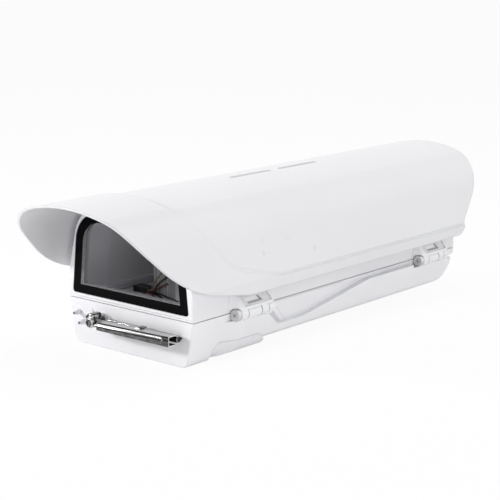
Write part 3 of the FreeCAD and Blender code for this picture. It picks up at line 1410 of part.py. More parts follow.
keep(cut("wiper_channel", fuse("channel_whole", [
    cut("channel_bent", channel_block, [channel_room]), rib_shown] + ears), arm_holes),
    "wiper_channel")

# Blade carrier with its rubber, riveted to the top of the channel
carrier_block = box("carrier_block", (-carrier_start, -carrier_front, -carrier_low),
                    (carrier_end, -carrier_back, -carrier_high))
carrier_room = box("carrier_room", (-carrier_start - 1, -carrier_front + arm_sheet,
                                    -carrier_low + arm_sheet),
                   (carrier_end + 1, 0, -carrier_high - arm_sheet))
tab_drop = arm_right_high + (arm_left_high - arm_right_high) / 2
tab_low = -tab_drop + 0.3
tab = box("tab", (rivet_x - tab_half, rivet_y - tab_half, tab_low),
          (rivet_x + tab_half, -carrier_back - 1, tab_low + arm_sheet))
tab_neck = box("tab_neck", (rivet_x - tab_half, -carrier_front, -carrier_high - arm_sheet),
               (rivet_x + tab_half, -carrier_front + arm_sheet, tab_low + arm_sheet))
tab_hole = rod("tab_hole", rivet_radius, 6, (rivet_x, rivet_y, tab_low - 2), V(0, 0, 1))
keep(cut("blade_carrier", fuse("carrier_whole", [
    cut("carrier_bent", carrier_block, [carrier_room]), tab, tab_neck]), [tab_hole]),
    "blade_carrier")
blade_middle = (carrier_low + carrier_high) / 2
rubber_root = carrier_low - carrier_high - arm_sheet * 2
keep(prism("wiper_rubber", "YZ_Plane", [
    (-carrier_front + arm_sheet, -blade_middle - rubber_root / 2),
    (-carrier_back, -blade_middle - rubber_root / 2),
    (-rubber_tip, -blade_middle - rubber_half / 4), (-rubber_tip, -blade_middle + rubber_half / 4),
    (-carrier_back, -blade_middle + rubber_root / 2),
    (-carrier_front + arm_sheet, -blade_middle + rubber_root / 2)],
    -carrier_start, carrier_start + carrier_end), "wiper_rubber")
keep(turned("blade_rivet", [
    (-arm_sheet - 1, 0), (-arm_sheet - 1, rivet_radius), (arm_sheet + 0.1, rivet_radius),
    (arm_sheet + 0.1, rivet_head_radius),
    (arm_sheet + rivet_head, rivet_head_radius, trim_chamfer),
    (arm_sheet + rivet_head, 0)], rivet_x, rivet_y, tab_low - 0.1, V(0, 0, 1)), "blade_rivet")

# Control board on four standoffs, with its terminal block
board_places = []
for side in (-1, 1):
    for y in (board_front + board_margin, board_front + board_length - board_margin):
        board_places.append(((board_half - board_margin) * side, y))
board_low = floor + board_rise
keep(group("board_standoffs", [
    turned(f"board_standoff_{i}", [(0, 0), (0, standoff_radius), (board_rise, standoff_radius),
                                   (board_rise, 0)], x, y, floor, V(0, 0, 1))
    for i, (x, y) in enumerate(board_places)]), "board_standoffs")
board_block = box("board_block", (-board_half, board_front, board_low),
                  (board_half, board_front + board_length, board_low + board_thickness))
keep(cut("control_board", board_block, [
    rod(f"board_hole_{i}", small_screw_radius, board_rise, (x, y, board_low - 2), V(0, 0, 1))
    for i, (x, y) in enumerate(board_places)]), "control_board")
keep(group("board_screws", [
    small_screw(f"board_screw_{i}", x, y, board_low + board_thickness, board_thickness, -1)
    for i, (x, y) in enumerate(board_places)]), "board_screws")
terminal_y = board_front + board_length - board_margin * 2 - terminal_depth
keep(box("terminal_block", (-terminal_half, terminal_y - terminal_depth, board_low + board_thickness),
         (terminal_half, terminal_y, board_low + board_thickness + terminal_height)),
     "terminal_block")

# Plug connector and the leads that sweep out of it over the tray
keep(box("harness_plug", (plug_left, plug_front, tray_top),
         (plug_left + plug_width, plug_front + plug_depth, tray_top + plug_height)), "harness_plug")


plug_right = plug_left + plug_width
plug_middle = plug_front + plug_depth / 2
lead_low = tray_top + lead_radius + lead_rise
lead_high = lead_low + lead_pitch

# Each lead leaves the plug some pitches in front of its middle or behind it, low or high. Its
# first run is straight out of the plug; the two bends and the stripped end count from the exit.
lead_routes = {
    "black_lead_up": (-0.2, lead_high, (6.5, 0, 0), (16, -2.6, 10), (31, -6.1, 19)),
    "black_lead_long": (0.8, lead_low, (6.5, 0, 0), (23, -5.2, 0), (53, -14.4, 0)),
    "black_lead_down": (-1.2, lead_low, (6, 0, 0), (21, -4.6, 0), (38, -15.6, 0)),
    "white_lead": (-1.2, lead_high, (6.5, 0, 0), (15, -2.6, 11), (28, -5, 21)),
    "yellow_lead": (-2.2, lead_high, (6.5, 0, 0), (14, -2.1, 12), (25.5, -4, 23)),
    "red_lead_up": (-0.2, lead_low, (6.5, 0, 0), (16, -2.6, 7), (32, -6.6, 14.5)),
    "red_lead_down": (-2.2, lead_low, (5, 0, 0), (16, -5.1, 0), (28, -18, 0)),
}


def lead(name, points):
    """Round lead along straight runs, with an arc at each bend as large as its runs allow."""
    edges = []
    begin = points[0]
    for before, corner, after in zip(points, points[1:], points[2:]):
        way_in = corner - before
        way_out = after - corner
        set_back = 0.45 * min(way_in.Length, way_out.Length)
        half_turn = way_in.getAngle(way_out) / 2
        arc_radius = set_back / math.tan(half_turn)
        way_in.normalize()
        way_out.normalize()
        arc_start = corner - way_in * set_back
        arc_end = corner + way_out * set_back
        inward = (way_out - way_in).normalize()
        arc_middle = corner + inward * (arc_radius / math.cos(half_turn) - arc_radius)
        edges.append(Part.LineSegment(begin, arc_start).toShape())
        edges.append(Part.Arc(arc_start, arc_middle, arc_end).toShape())
        print(name, "bends at a radius of", round(arc_radius, 1), "mm")
        begin = arc_end
    edges.append(Part.LineSegment(begin, points[-1]).toShape())
    ring = Part.Circle(points[0], points[1] - points[0], float(lead_radius)).toShape()
    obj = doc.addObject("Part::Feature", name + "_tube")
    obj.Shape = Part.Wire(edges).makePipeShell([Part.Wire([ring])], True, False)
    return obj


for lead_name, (pitches, height, *route) in lead_routes.items():
    lead_exit = V(float(plug_right), float(plug_middle + lead_pitch * pitches), float(height))
    keep(lead(lead_name, [lead_exit] + [lead_exit + V(point) for point in route]), lead_name)

# Check every shape, then write one file for each sub-part
doc.recompute()
for obj in doc.Objects:
    if "Invalid" in obj.State or "Error" in obj.State:
        raise ValueError(f"{obj.Name} did not rebuild")
os.makedirs("parts", exist_ok=True)
for obj in sub_parts:
    if obj.Shape.isNull() or not obj.Shape.isValid() or not obj.Shape.Solids:
        raise ValueError(f"{obj.Label} is not a sound solid")
    obj.Shape.exportStep(f"parts/{obj.Label}.step")
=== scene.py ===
import math

import bpy
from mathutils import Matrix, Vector


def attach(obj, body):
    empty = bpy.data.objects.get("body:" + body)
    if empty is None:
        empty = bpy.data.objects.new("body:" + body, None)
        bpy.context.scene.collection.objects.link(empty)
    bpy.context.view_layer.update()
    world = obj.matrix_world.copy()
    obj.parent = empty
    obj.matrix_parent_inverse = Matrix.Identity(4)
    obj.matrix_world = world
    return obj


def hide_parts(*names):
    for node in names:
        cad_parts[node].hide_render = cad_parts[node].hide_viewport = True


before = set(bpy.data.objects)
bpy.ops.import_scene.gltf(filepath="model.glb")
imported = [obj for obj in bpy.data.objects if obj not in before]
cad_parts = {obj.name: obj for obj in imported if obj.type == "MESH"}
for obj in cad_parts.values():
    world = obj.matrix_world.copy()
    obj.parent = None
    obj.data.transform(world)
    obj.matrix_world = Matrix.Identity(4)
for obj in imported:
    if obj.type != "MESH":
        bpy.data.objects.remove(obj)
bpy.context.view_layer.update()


# Viewpoint: a long lens, a little above the housing and off its front corner, with the
# whole housing in the square frame.
def add(name, data):
    """Puts a new object with this data into the scene."""
    made = bpy.data.objects.new(name, data)
    bpy.context.scene.collection.objects.link(made)
    return made


view_down = 12.2505
view_turn = 40.3198
camera_data = bpy.data.cameras.new("viewpoint")
camera_data.sensor_width = 36.0
camera_data.lens = 102.96
viewpoint = add("viewpoint", camera_data)
viewpoint.location = (0.9618, -1.1913, 0.3977)
viewpoint.rotation_euler = (math.radians(90.0 - view_down), 0.0, math.radians(view_turn))
bpy.context.scene.camera = viewpoint


# Camera leads: seven round wires in soft coloured sleeves. They leave the black plug on
# the tray, four bent upwards and three lying down, and end bare until a camera is wired.
class Shade:
    """A socket of a material's nodes, on which sums and products can be written."""

    def __init__(self, socket):
        self.socket = socket

    def node(self, kind, settings=None, inputs=None, output=None):
        """Adds a node with its settings and inputs, and gives one of its outputs."""
        tree = self.socket.id_data
        made = tree.nodes.new("ShaderNode" + kind)
        for name, value in (settings or {}).items():
            setattr(made, name, value)
        for name, value in (inputs or {}).items():
            if isinstance(name, int):
                end = made.inputs[name]
            else:
                end = next(s for s in made.inputs if s.enabled and s.name == name)
            if isinstance(value, Shade):
                tree.links.new(value.socket, end)
            else:
                end.default_value = value
        ends = [s for s in made.outputs if s.enabled]
        return Shade(next((s for s in ends if s.name == output), ends[0]))

    def math(self, operation, first, second=0.0):
        """The result of a Math node."""
        return self.node("Math", {"operation": operation}, {0: first, 1: second})

    def __add__(self, other):
        return self.math("ADD", self, other)

    def __radd__(self, other):
        return self.math("ADD", other, self)

    def __sub__(self, other):
        return self.math("SUBTRACT", self, other)

    def __rsub__(self, other):
        return self.math("SUBTRACT", other, self)

    def __mul__(self, other):
        return self.math("MULTIPLY", self, other)

    def __rmul__(self, other):
        return self.math("MULTIPLY", other, self)

    def __pow__(self, other):
        return self.math("POWER", self, other)

    def __abs__(self):
        return self.math("ABSOLUTE", self)

    def at_least(self, other):
        """The larger of the two."""
        return self.math("MAXIMUM", self, other)

    def at_most(self, other):
        """The smaller of the two."""
        return self.math("MINIMUM", self, other)

    def clamped(self):
        """Cut off below 0 and above 1."""
        return self.node("Clamp", {}, {"Value": self})

    def waves(self, pitch):
        """A sine wave that repeats after each pitch."""
        return self.math("SINE", self * (2 * math.pi / pitch))

    def rise(self, low, high):
        """Goes smoothly from 0 at low to 1 at high."""
        limits = {"Value": self, "From Min": low, "From Max": high}
        return self.node("MapRange", {"interpolation_type": "SMOOTHSTEP"}, limits)

    def fall(self, low, high):
        """Goes smoothly from 1 at low to 0 at high."""
        return 1.0 - self.rise(low, high)

    def part(self, axis):
        """The x, y or z of a vector."""
        return self.node("SeparateXYZ", {}, {"Vector": self}, axis)

    def vector(self, operation, other=(0.0, 0.0, 0.0), output=None):
        """The result of a Vector Math node."""
        ends = {0: self, 1: other}
        return self.node("VectorMath", {"operation": operation}, ends, output)

    def noise(self, scale, detail=2.0):
        """Cloudy noise from 0 to 1; three scales make it longer along an axis."""
        place = self
        if isinstance(scale, tuple):
            place, scale = self.vector("MULTIPLY", scale), 1.0
        sizes = {"Vector": place, "Scale": scale, "Detail": detail}
        return self.node("TexNoise", {}, sizes, "Fac")

    def mix(self, low, high):
        """Goes from the colour low at 0 to high at 1."""
        ends = {"Factor": self, "A": low, "B": high}
        return self.node("Mix", {"data_type": "RGBA"}, ends, "Result")


def tone(red, green, blue):
    """An opaque colour."""
    return (red, green, blue, 1.0)


def finish(name, colour, gloss, metal=0.0):
    """A material of one colour, its shader, and the place of each point on the object."""
    material = bpy.data.materials.new(name)
    material.use_nodes = True
    skin = material.node_tree.nodes["Principled BSDF"]
    skin.inputs["Base Color"].default_value = colour
    skin.inputs["Roughness"].default_value = 1.0 - gloss
    skin.inputs["Metallic"].default_value = metal
    place = Shade(skin.inputs["Normal"]).node("TexCoord", output="Object")
    return material, skin, place


def feed(skin, name, value):
    """Links a value to a socket of the shader."""
    skin.id_data.links.new(value.socket, skin.inputs[name])


def rounded_off(place, radius):
    """The direction that the surface would face with its corners rounded by radius."""
    corner_samples = 6
    return place.node("Bevel", {"samples": corner_samples}, {"Radius": radius})


def relief(skin, height, depth, rounding):
    """Rounds the corners a little and raises the pattern of height by depth."""
    rounded = rounded_off(height, rounding)
    sizes = {"Height": height, "Distance": depth, "Normal": rounded}
    feed(skin, "Normal", height.node("Bump", {}, sizes))


def sleeve(name, colour, dust):
    """Soft wire sleeve, dulled unevenly by handling."""
    dust_colour = tone(0.4, 0.39, 0.37)
    material, skin, place = finish(name, colour, gloss=0.6)
    patch = place.noise(260.0, detail=3.0)
    feed(skin, "Base Color", (dust * patch.rise(0.35, 0.75)).mix(colour, dust_colour))
    feed(skin, "Roughness", 0.34 + 0.2 * patch)
    relief(skin, place.noise(900.0), depth=0.00008, rounding=0.0002)
    return material


def wire(name, exit_point, route, width):
    """Round wire along one smooth open line from its exit."""
    line = bpy.data.curves.new(name, "CURVE")
    line.dimensions = "3D"
    line.bevel_depth = width / 2
    line.bevel_resolution = 5
    line.use_fill_caps = True
    spline = line.splines.new("NURBS")
    spline.points.add(len(route))
    for point, step in zip(spline.points, [(0.0, 0.0, 0.0), *route]):
        point.co = (*(Vector(exit_point) + Vector(step)), 1.0)
    spline.order_u = 3
    spline.use_endpoint_u = True
    spline.resolution_u = 16
    return add(name, line)


sleeves = {
    "black_wire": sleeve("black sleeve", tone(0.012, 0.012, 0.013), dust=0.12),
    "white_wire": sleeve("white sleeve", tone(0.72, 0.71, 0.69), dust=0.4),
    "yellow_wire": sleeve("yellow sleeve", tone(0.33, 0.22, 0.08), dust=0.25),
    "red_wire": sleeve("red sleeve", tone(0.21, 0.055, 0.045), dust=0.2),
}
lead_width = 0.0016
plug_face = -0.043
way_1, way_2, way_3, way_4 = -0.1654, -0.1674, -0.1694, -0.1714
upper_row = 0.0452
lower_row = 0.0432
leads = [
    ("black_lead_up", "black_wire", 0.0378, (plug_face, way_2, upper_row),
     [(0.0065, 0.0, 0.0), (0.016, -0.0026, 0.010), (0.031, -0.0061, 0.019)]),
    ("white_lead", "white_wire", 0.0368, (plug_face, way_3, upper_row),
     [(0.0065, 0.0, 0.0), (0.015, -0.0026, 0.011), (0.028, -0.005, 0.021)]),
    ("yellow_lead", "yellow_wire", 0.0363, (plug_face, way_4, upper_row),
     [(0.0065, 0.0, 0.0), (0.014, -0.0021, 0.012), (0.0255, -0.004, 0.023)]),
    ("red_lead_up", "red_wire", 0.0363, (plug_face, way_2, lower_row),
     [(0.0065, 0.0, 0.0), (0.016, -0.0026, 0.007), (0.032, -0.0066, 0.0145)]),
    ("black_lead_long", "black_wire", 0.0552, (plug_face, way_1, lower_row),
     [(0.0065, 0.0, 0.0), (0.023, -0.0052, 0.0), (0.053, -0.0144, 0.0)]),
    ("black_lead_down", "black_wire", 0.0418, (plug_face, way_3, lower_row),
     [(0.006, 0.0, 0.0), (0.021, -0.0046, 0.0), (0.038, -0.0156, 0.0)]),
    ("red_lead_down", "red_wire", 0.0343, (plug_face, way_4, lower_row),
     [(0.005, 0.0, 0.0), (0.016, -0.0051, 0.0), (0.028, -0.018, 0.0)]),
]
for node, colour, length, lead_exit, route in leads:
    lead = wire("loose_" + node, lead_exit, route, lead_width)
    lead.data.materials.append(sleeves[colour])
    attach(lead, "base")
    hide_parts(node)


# Base pan: one deep moulding in satin white plastic that carries everything else. It is
# moulded with a fine even grain, flares out to the hinge ledges and has a raised chin.
def dress(material, *nodes):
    """Gives carried-over solids their finish."""
    for node in nodes:
        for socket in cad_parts[node].material_slots:
            socket.material = material


def grey(level):
    """A very slightly cold grey."""
    return tone(level, level, level * 1.026)


def rubbed_edges(place, width):
    """1 along sharp edges and 0 on the faces."""
    contrast = 5.0
    plain = place.node("NewGeometry", output="Normal")
    turned = rounded_off(place, width).vector("DOT_PRODUCT", plain, "Value")
    return ((1.0 - turned) * contrast).clamped()


def moulded_white(name, level, gloss, marks=None):
    """Satin white plastic: a faint unevenness of tone, a moulded grain and rubbed edges.

    marks paints local tones over the even one, from the place of each point.
    """
    material, skin, place = finish(name, grey(level), gloss)
    cloud = place.noise(11.0, detail=3.0).rise(0.3, 0.7)
    grain = place.noise(2200.0)
    worn = rubbed_edges(place, width=0.0007)
    tint = (0.8 * cloud + 0.2 * grain).mix(grey(level - 0.025), grey(level))
    feed(skin, "Base Color", marks(place, tint) if marks else tint)
    feed(skin, "Roughness", (1.0 - gloss) + 0.1 * (grain - 0.5) - 0.08 * worn)
    relief(skin, grain, depth=0.00004, rounding=0.0003)
    return material


def from_side(place):
    """Distance from the middle plane, the same on both sides."""
    return place.vector("ABSOLUTE").part("X")


def from_axis(place, x, z):
    """Distance from the line along y at x and z, the same on both sides."""
    across = place.vector("ABSOLUTE").vector("SUBTRACT", (x, 0.0, z))
    return across.vector("MULTIPLY", (1.0, 0.0, 1.0)).vector("LENGTH", output="Value")


hinge_x = 0.091
hinge_z = 0.0445
hinge_sets_apart = 0.3138
knuckle_joints = (-0.1732, -0.1532, -0.1423)
barrel_edge = (0.0065, 0.0069)
joint_edge = (0.0003, 0.0007)
# painted shade for the narrow gaps between the hinge knuckles
knuckle_gap_painted_shade = grey(0.22)


def along_set(place):
    """Place along a hinge set, the rear set counted as the front one."""
    along = place.part("Y")
    return along - hinge_sets_apart * along.math("GREATER_THAN", along, 0.0)


def joints(place, tint):
    """Paints shade into the gaps between the knuckles."""
    along = along_set(place)
    nearest = abs(along - knuckle_joints[0])
    for joint in knuckle_joints[1:]:
        nearest = abs(along - joint).at_most(nearest)
    barrel = from_axis(place, hinge_x, hinge_z).fall(*barrel_edge)
    return (0.8 * barrel * nearest.fall(*joint_edge)).mix(tint, knuckle_gap_painted_shade)


rim_height = 0.046
recess_side, recess_lean = 0.0761, 0.194
recess_front, recess_slant = -0.1407, 1.028
recess_depth, recess_start, recess_end = (0.0005, 0.001), (-0.0006, 0.0), (0.06, 0.065)
lip_start, lip_height, lip_climb = -0.0735, 0.0214, 0.182
lip_edge, lip_glow = (0.0, 0.002), (0.001, 0.009)
slope_edge = (0.0085, 0.0105)
# painted light and painted shade for the recess along each side
recess_floor_painted_light = grey(0.93)
recess_slope_painted_shade = grey(0.66)


def pan_marks(place, tint):
    """Paints shade into the knuckle joints, painted light on the recess floor along each
    side, and painted shade on the recess's slanted front strip.
    """
    along = place.part("Y")
    height = place.part("Z")
    off_floor = abs(from_side(place) - recess_lean * height - recess_side)
    behind_edge = along - recess_front - recess_slant * (rim_height - height)
    above_lip = height - lip_height - lip_climb * (along - lip_start)
    floor = off_floor.fall(*recess_depth) * along.fall(*recess_end)
    floor = floor * behind_edge.rise(*recess_start)
    # painted light: the floor is lightened, most near the lip that shades it
    floor_painted_light = floor * (1.0 - 0.75 * above_lip.rise(*lip_glow))
    # painted shade on the slanted strip at the front end of the recess
    slope = floor * behind_edge.fall(*slope_edge) * above_lip.rise(*lip_edge)
    tint = floor_painted_light.mix(tint, recess_floor_painted_light)
    return joints(place, slope.mix(tint, recess_slope_painted_shade))


dress(moulded_white("pan white", level=0.89, gloss=0.58, marks=pan_marks), "base_shell")


# Seals: a soft black rubber cord in the pan's rim groove, and the rubber frame that the
# window is pressed against, coloured mid grey as painted shade to read as the shaded
# inner wall behind the glass. Both are extruded and matt, with a trace of dust.
def soft_rubber(name, colour, dust, sheen=0.25):
    """Matt rubber with a faint dusty bloom."""
    bloom_colour = tone(0.2, 0.19, 0.18)
    material, skin, place = finish(name, colour, gloss=0.28)
    bloom = place.noise(70.0, detail=4.0).rise(0.4, 0.8)
    skin.inputs["Specular IOR Level"].default_value = sheen
    feed(skin, "Base Color", (bloom * dust).mix(colour, bloom_colour))
    feed(skin, "Roughness", 0.66 + 0.16 * bloom)
    relief(skin, place.noise(1500.0), depth=0.00005, rounding=0.0003)
    return material


gasket_colour = tone(0.0035, 0.0035, 0.0037)
# painted shade: the frame is mid grey so that its walls seen through the glass match the
# shaded inner wall
frame_painted_shade_grey = tone(0.32, 0.32, 0.325)
dress(soft_rubber("gasket rubber", gasket_colour, dust=0.004, sheen=0.05), "base_gasket")
dress(soft_rubber("frame rubber", frame_painted_shade_grey, dust=0.2, sheen=0.05), "window_seal")


# Chin cover: a shallow white moulding screwed under the pan over its front wiring well,
# from the same plastic as the pan, with two pan-head screws from below.
chin_colour = tone(0.85, 0.85, 0.873)
chin_cloud = tone(0.825, 0.825, 0.85)
chin_edge_painted_shade = tone(0.3, 0.295, 0.3)
chin_white, skin, place = finish("chin white", chin_colour, gloss=0.56)
grain = place.noise(2200.0)
cloud = place.noise(11.0, detail=3.0).rise(0.3, 0.7)
# painted shade along the cover's sharp edges, standing in for the shadow in its seam; the
# same mask also roughens them
painted_edge_shade = rubbed_edges(place, width=0.0009) * (0.6 + 0.4 * place.noise(60.0))
tint = cloud.mix(chin_cloud, chin_colour)
feed(skin, "Base Color", (0.75 * painted_edge_shade).mix(tint, chin_edge_painted_shade))
feed(skin, "Roughness", 0.4 + 0.1 * grain + 0.2 * painted_edge_shade)
relief(skin, grain, depth=0.00004, rounding=0.0004)
dress(chin_white, "chin_cover")


def lighter(colour, times):
    """The colour with its red, green and blue made so many times as light, up to 1."""
    return tone(*(min(1.0, times * c) for c in colour[:3]))


def turned_steel(name, colour, gloss, grain):
    """Turned stainless steel: a fine tool grain, small stains and brighter edges."""
    material, skin, place = finish(name, colour, gloss, metal=1.0)
    line = place.noise(grain)
    stain = place.noise(420.0, detail=3.0).rise(0.45, 0.8)
    worn = rubbed_edges(place, width=0.0004)
    base = (0.55 * line + 0.35 * stain).mix(colour, lighter(colour, 0.62))
    feed(skin, "Base Color", worn.mix(base, lighter(colour, 1.25)))
    feed(skin, "Roughness", (1.0 - gloss) + 0.14 * (line - 0.5) + 0.1 * stain)
    relief(skin, line, depth=0.00004, rounding=0.00025)
    return material


screw_colour = tone(0.56, 0.555, 0.55)
screw_steel = turned_steel("screw steel", screw_colour, gloss=0.66, grain=900.0)
dress(screw_steel, "chin_screws")


# Mounting plate: a flat white moulding under the pan with four screw bosses, held by
# four countersunk screws. A bracket bolts against it.
dress(moulded_white("plate white", level=0.83, gloss=0.5), "mount_plate")
dress(screw_steel, "mount_plate_screws")


# Cable glands: three grey nylon fittings through the pan's floor, each with a screwed
# cap outside, a lock nut inside and a rubber plug that shuts the unused way.
gland_colour = tone(0.27, 0.27, 0.275)
gland_shade = tone(0.22, 0.22, 0.226)
gland_rubbed = tone(0.46, 0.46, 0.47)
gland_grey, skin, place = finish("gland grey", gland_colour, gloss=0.45)
cloud = place.noise(160.0, detail=3.0)
worn = rubbed_edges(place, width=0.0006)
feed(skin, "Base Color", worn.mix(cloud.mix(gland_shade, gland_colour), gland_rubbed))
feed(skin, "Roughness", 0.46 + 0.18 * cloud)
relief(skin, place.noise(1300.0), depth=0.00005, rounding=0.0004)
dress(gland_grey, "gland_bodies", "gland_caps", "gland_locknuts")
dress(soft_rubber("plug rubber", tone(0.016, 0.016, 0.017), dust=0.12), "gland_plugs")


# Hinge and latch screws: long stainless pins with turned, slightly cupped heads, pushed
# through the knuckles of pan and cover along each side.
pin_colour = tone(0.71, 0.7, 0.705)
pin_cup_painted_shade = tone(0.2, 0.2, 0.205)
pin_edge = tone(0.85, 0.85, 0.84)
hollow_edge = (0.0006, 0.0024)
hinge_steel, skin, place = finish("hinge pin steel", pin_colour, gloss=0.6, metal=1.0)
radius = from_axis(place, hinge_x, hinge_z)
ring = 0.5 + 0.5 * radius.waves(pitch=0.00045)
cloud = place.noise(300.0, detail=3.0)
worn = rubbed_edges(place, width=0.0004)
base = (0.3 * ring + 0.4 * cloud).mix(pin_colour, lighter(pin_colour, 0.7))
# painted shade in the hollow of each cupped head
base = (0.55 * radius.fall(*hollow_edge)).mix(base, pin_cup_painted_shade)
feed(skin, "Base Color", (0.7 * worn).mix(base, pin_edge))
feed(skin, "Roughness", 0.4 + 0.1 * ring + 0.08 * cloud)
relief(skin, ring, depth=0.00003, rounding=0.0003)
dress(hinge_steel, "hinge_screws", "latch_screws")


# Camera tray and bracket: a bare aluminium sheet with a long slot, held by four small
# screws, and a bright bent bracket for the camera, held on it by one screw from below.
tray_colour = tone(0.9, 0.905, 0.91)
tray_shade = tone(0.64, 0.64, 0.65)
tray_scratch = tone(0.9, 0.9, 0.9)
tray_sheet, skin, place = finish("tray sheet", tray_colour, gloss=0.66, metal=0.1)
grain = place.noise((1100.0, 14.0, 1100.0), detail=3.0)
cloud = place.noise(42.0, detail=3.0).rise(0.35, 0.65)
scratch = place.noise((150.0, 9.0, 40.0), detail=1.0).rise(0.68, 0.72)
base = (0.6 * grain + 0.4 * cloud).mix(tray_shade, tray_colour)
feed(skin, "Base Color", (0.5 * scratch).mix(base, tray_scratch))
feed(skin, "Roughness", 0.24 + 0.2 * grain + 0.1 * cloud)
relief(skin, grain - 0.5 * scratch, depth=0.00005, rounding=0.0003)


def streaked_steel(name, colour, dark, lines, contrast, metal=1.0):
    """Bright polished steel with long soft dark and light streaks, partly drawing marks and
    partly painted reflections.
    """
    edge_colour = tone(0.93, 0.93, 0.92)
    material, skin, place = finish(name, colour, gloss=0.86, metal=metal)
    streak = place.noise(lines)
    speck = place.noise(330.0, detail=3.0)
    worn = rubbed_edges(place, width=0.00035)
    # the dark streaks are partly drawing marks and partly painted reflections
    base = (contrast * streak.rise(0.36, 0.66) + 0.12 * speck).mix(colour, dark)
    feed(skin, "Base Color", (0.8 * worn).mix(base, edge_colour))
    feed(skin, "Roughness", 0.1 + 0.12 * speck)
    relief(skin, streak, depth=0.00012, rounding=0.0003)
    return material


# the bracket's dark streaks are painted reflections on the curved polished sheet
bracket_bright = streaked_steel(
    "bracket bright", tone(0.95, 0.95, 0.955), tone(0.3, 0.3, 0.305),
    lines=(230.0, 60.0, 5.0), contrast=0.7, metal=0.1,
)
dress(tray_sheet, "camera_tray")
dress(bracket_bright, "camera_bracket")
dress(screw_steel, "tray_screws", "camera_screw")


# Harness plug and terminals: black nylon shells with rows of small contacts, the plug for
# the camera's leads on the tray and the terminal block on the board below.
def black_nylon(name, contact_pitch):
    """Black nylon with a row of metal contacts seen through its openings."""
    colour = tone(0.014, 0.014, 0.015)
    edge_colour = tone(0.16, 0.16, 0.165)
    contact_colour = tone(0.5, 0.49, 0.46)
    material, skin, place = finish(name, colour, gloss=0.55)
    contact = place.part("Y").waves(contact_pitch).rise(0.82, 0.9)
    contact = contact * place.noise(500.0, detail=1.0).rise(0.3, 0.5)
    worn = rubbed_edges(place, width=0.0004)
    base = (0.5 * worn).mix(colour, edge_colour)
    feed(skin, "Base Color", (0.6 * contact).mix(base, contact_colour))
    feed(skin, "Roughness", 0.44 + 0.12 * place.noise(700.0))
    relief(skin, place.noise(1200.0) - 0.6 * contact, depth=0.00008, rounding=0.0003)
    return material


dress(black_nylon("plug shell", contact_pitch=0.0022), "harness_plug")
dress(black_nylon("terminal shell", contact_pitch=0.005), "terminal_block")


# Control board: a green lacquered board on brass spacers under the tray, with its copper
# tracks showing through the lacquer, held by four small screws.
lacquer_dark = tone(0.006, 0.06, 0.028)
lacquer_track = tone(0.02, 0.16, 0.07)
tinned = tone(0.6, 0.6, 0.58)
track_pitch = 0.0041888
track_jump = 0.006
board_lacquer, skin, place = finish("board lacquer", lacquer_dark, gloss=0.72)
bent = place.noise(55.0, detail=1.0)
across = place.part("X") + track_jump * bent.rise(0.45, 0.5)
along = place.part("Y") + track_jump * bent.rise(0.55, 0.6)
track = across.waves(track_pitch).rise(0.72, 0.86)
pad = track * along.waves(track_pitch).rise(0.8, 0.9) * place.noise(180.0).rise(0.55, 0.6)
base = (0.6 * track).mix(lacquer_dark, lacquer_track)
feed(skin, "Base Color", pad.mix(base, tinned))
feed(skin, "Roughness", 0.26 + 0.16 * bent)
relief(skin, track + pad, depth=0.00006, rounding=0.0002)

brass_colour = tone(0.72, 0.5, 0.2)
brass_tarnish = tone(0.34, 0.2, 0.07)
plain_brass, skin, place = finish("plain brass", brass_colour, gloss=0.66, metal=1.0)
cloud = place.noise(380.0, detail=3.0)
turning = place.noise((400.0, 400.0, 4000.0))
feed(skin, "Base Color", cloud.rise(0.4, 0.75).mix(brass_colour, brass_tarnish))
feed(skin, "Roughness", 0.26 + 0.2 * cloud)
relief(skin, turning, depth=0.00003, rounding=0.0003)
dress(board_lacquer, "control_board")
dress(plain_brass, "board_standoffs")
dress(screw_steel, "board_screws")


# Wiper drive: a cast zinc gearbox and a plated round motor behind the front wall. The
# shaft comes out through a white bush moulded on the pan's front.
zinc_colour = tone(0.36, 0.36, 0.37)
zinc_shade = tone(0.24, 0.24, 0.25)
gearbox_cast, skin, place = finish("gearbox cast", zinc_colour, gloss=0.42, metal=0.85)
cloud = place.noise(120.0, detail=4.0)
sand = place.noise(1600.0, detail=3.0)
feed(skin, "Base Color", (0.7 * cloud + 0.3 * sand).mix(zinc_shade, zinc_colour))
feed(skin, "Roughness", 0.46 + 0.25 * sand)
relief(skin, sand, depth=0.0001, rounding=0.0005)
motor_colour = tone(0.5, 0.5, 0.5)
motor_grain = (500.0, 30.0, 500.0)
motor_plate = turned_steel("motor plate", motor_colour, gloss=0.7, grain=motor_grain)
trim_white = moulded_white("trim white", level=0.85, gloss=0.58)
dress(gearbox_cast, "wiper_gearbox")
dress(motor_plate, "wiper_motor")
dress(trim_white, "shaft_bush")


# Washer nozzles and front plug: small white moulded jets screwed through the pan's front
# with brass nuts behind, and a round white plug that shuts a spare hole.
jet_one_x, jet_one_z = 0.07, 0.032
jet_two_x, jet_two_z = 0.063, 0.023
mouth_edge, mouth_depth = (0.0011, 0.0015), (-0.2466, -0.2462)
collar_foot = (-0.2412, -0.2402)
jet_foot_painted_shade = grey(0.3)
jet_mouth_painted_shade = grey(0.02)


def jet_marks(place, tint):
    """Paints shade into the mouth of each jet and where its collar meets the pan."""
    one = from_axis(place, jet_one_x, jet_one_z)
    two = from_axis(place, jet_two_x, jet_two_z)
    along = place.part("Y")
    # painted shade: the jet mouths near black and the collar's root darkened
    mouth = one.at_most(two).fall(*mouth_edge) * along.fall(*mouth_depth)
    foot = along.rise(*collar_foot)
    return mouth.mix((0.5 * foot).mix(tint, jet_foot_painted_shade), jet_mouth_painted_shade)


nozzle_white = moulded_white("nozzle white", level=0.84, gloss=0.56, marks=jet_marks)
dress(nozzle_white, "washer_nozzles")
dress(plain_brass, "nozzle_nuts")
dress(trim_white, "front_plug")


# Cover: the upper half of the housing in the same satin white plastic, hinged to the pan
# along one side and latched along the other, with its front framing the window.
def outward(place):
    """The direction that the surface faces."""
    return place.node("TexCoord", output="Normal")


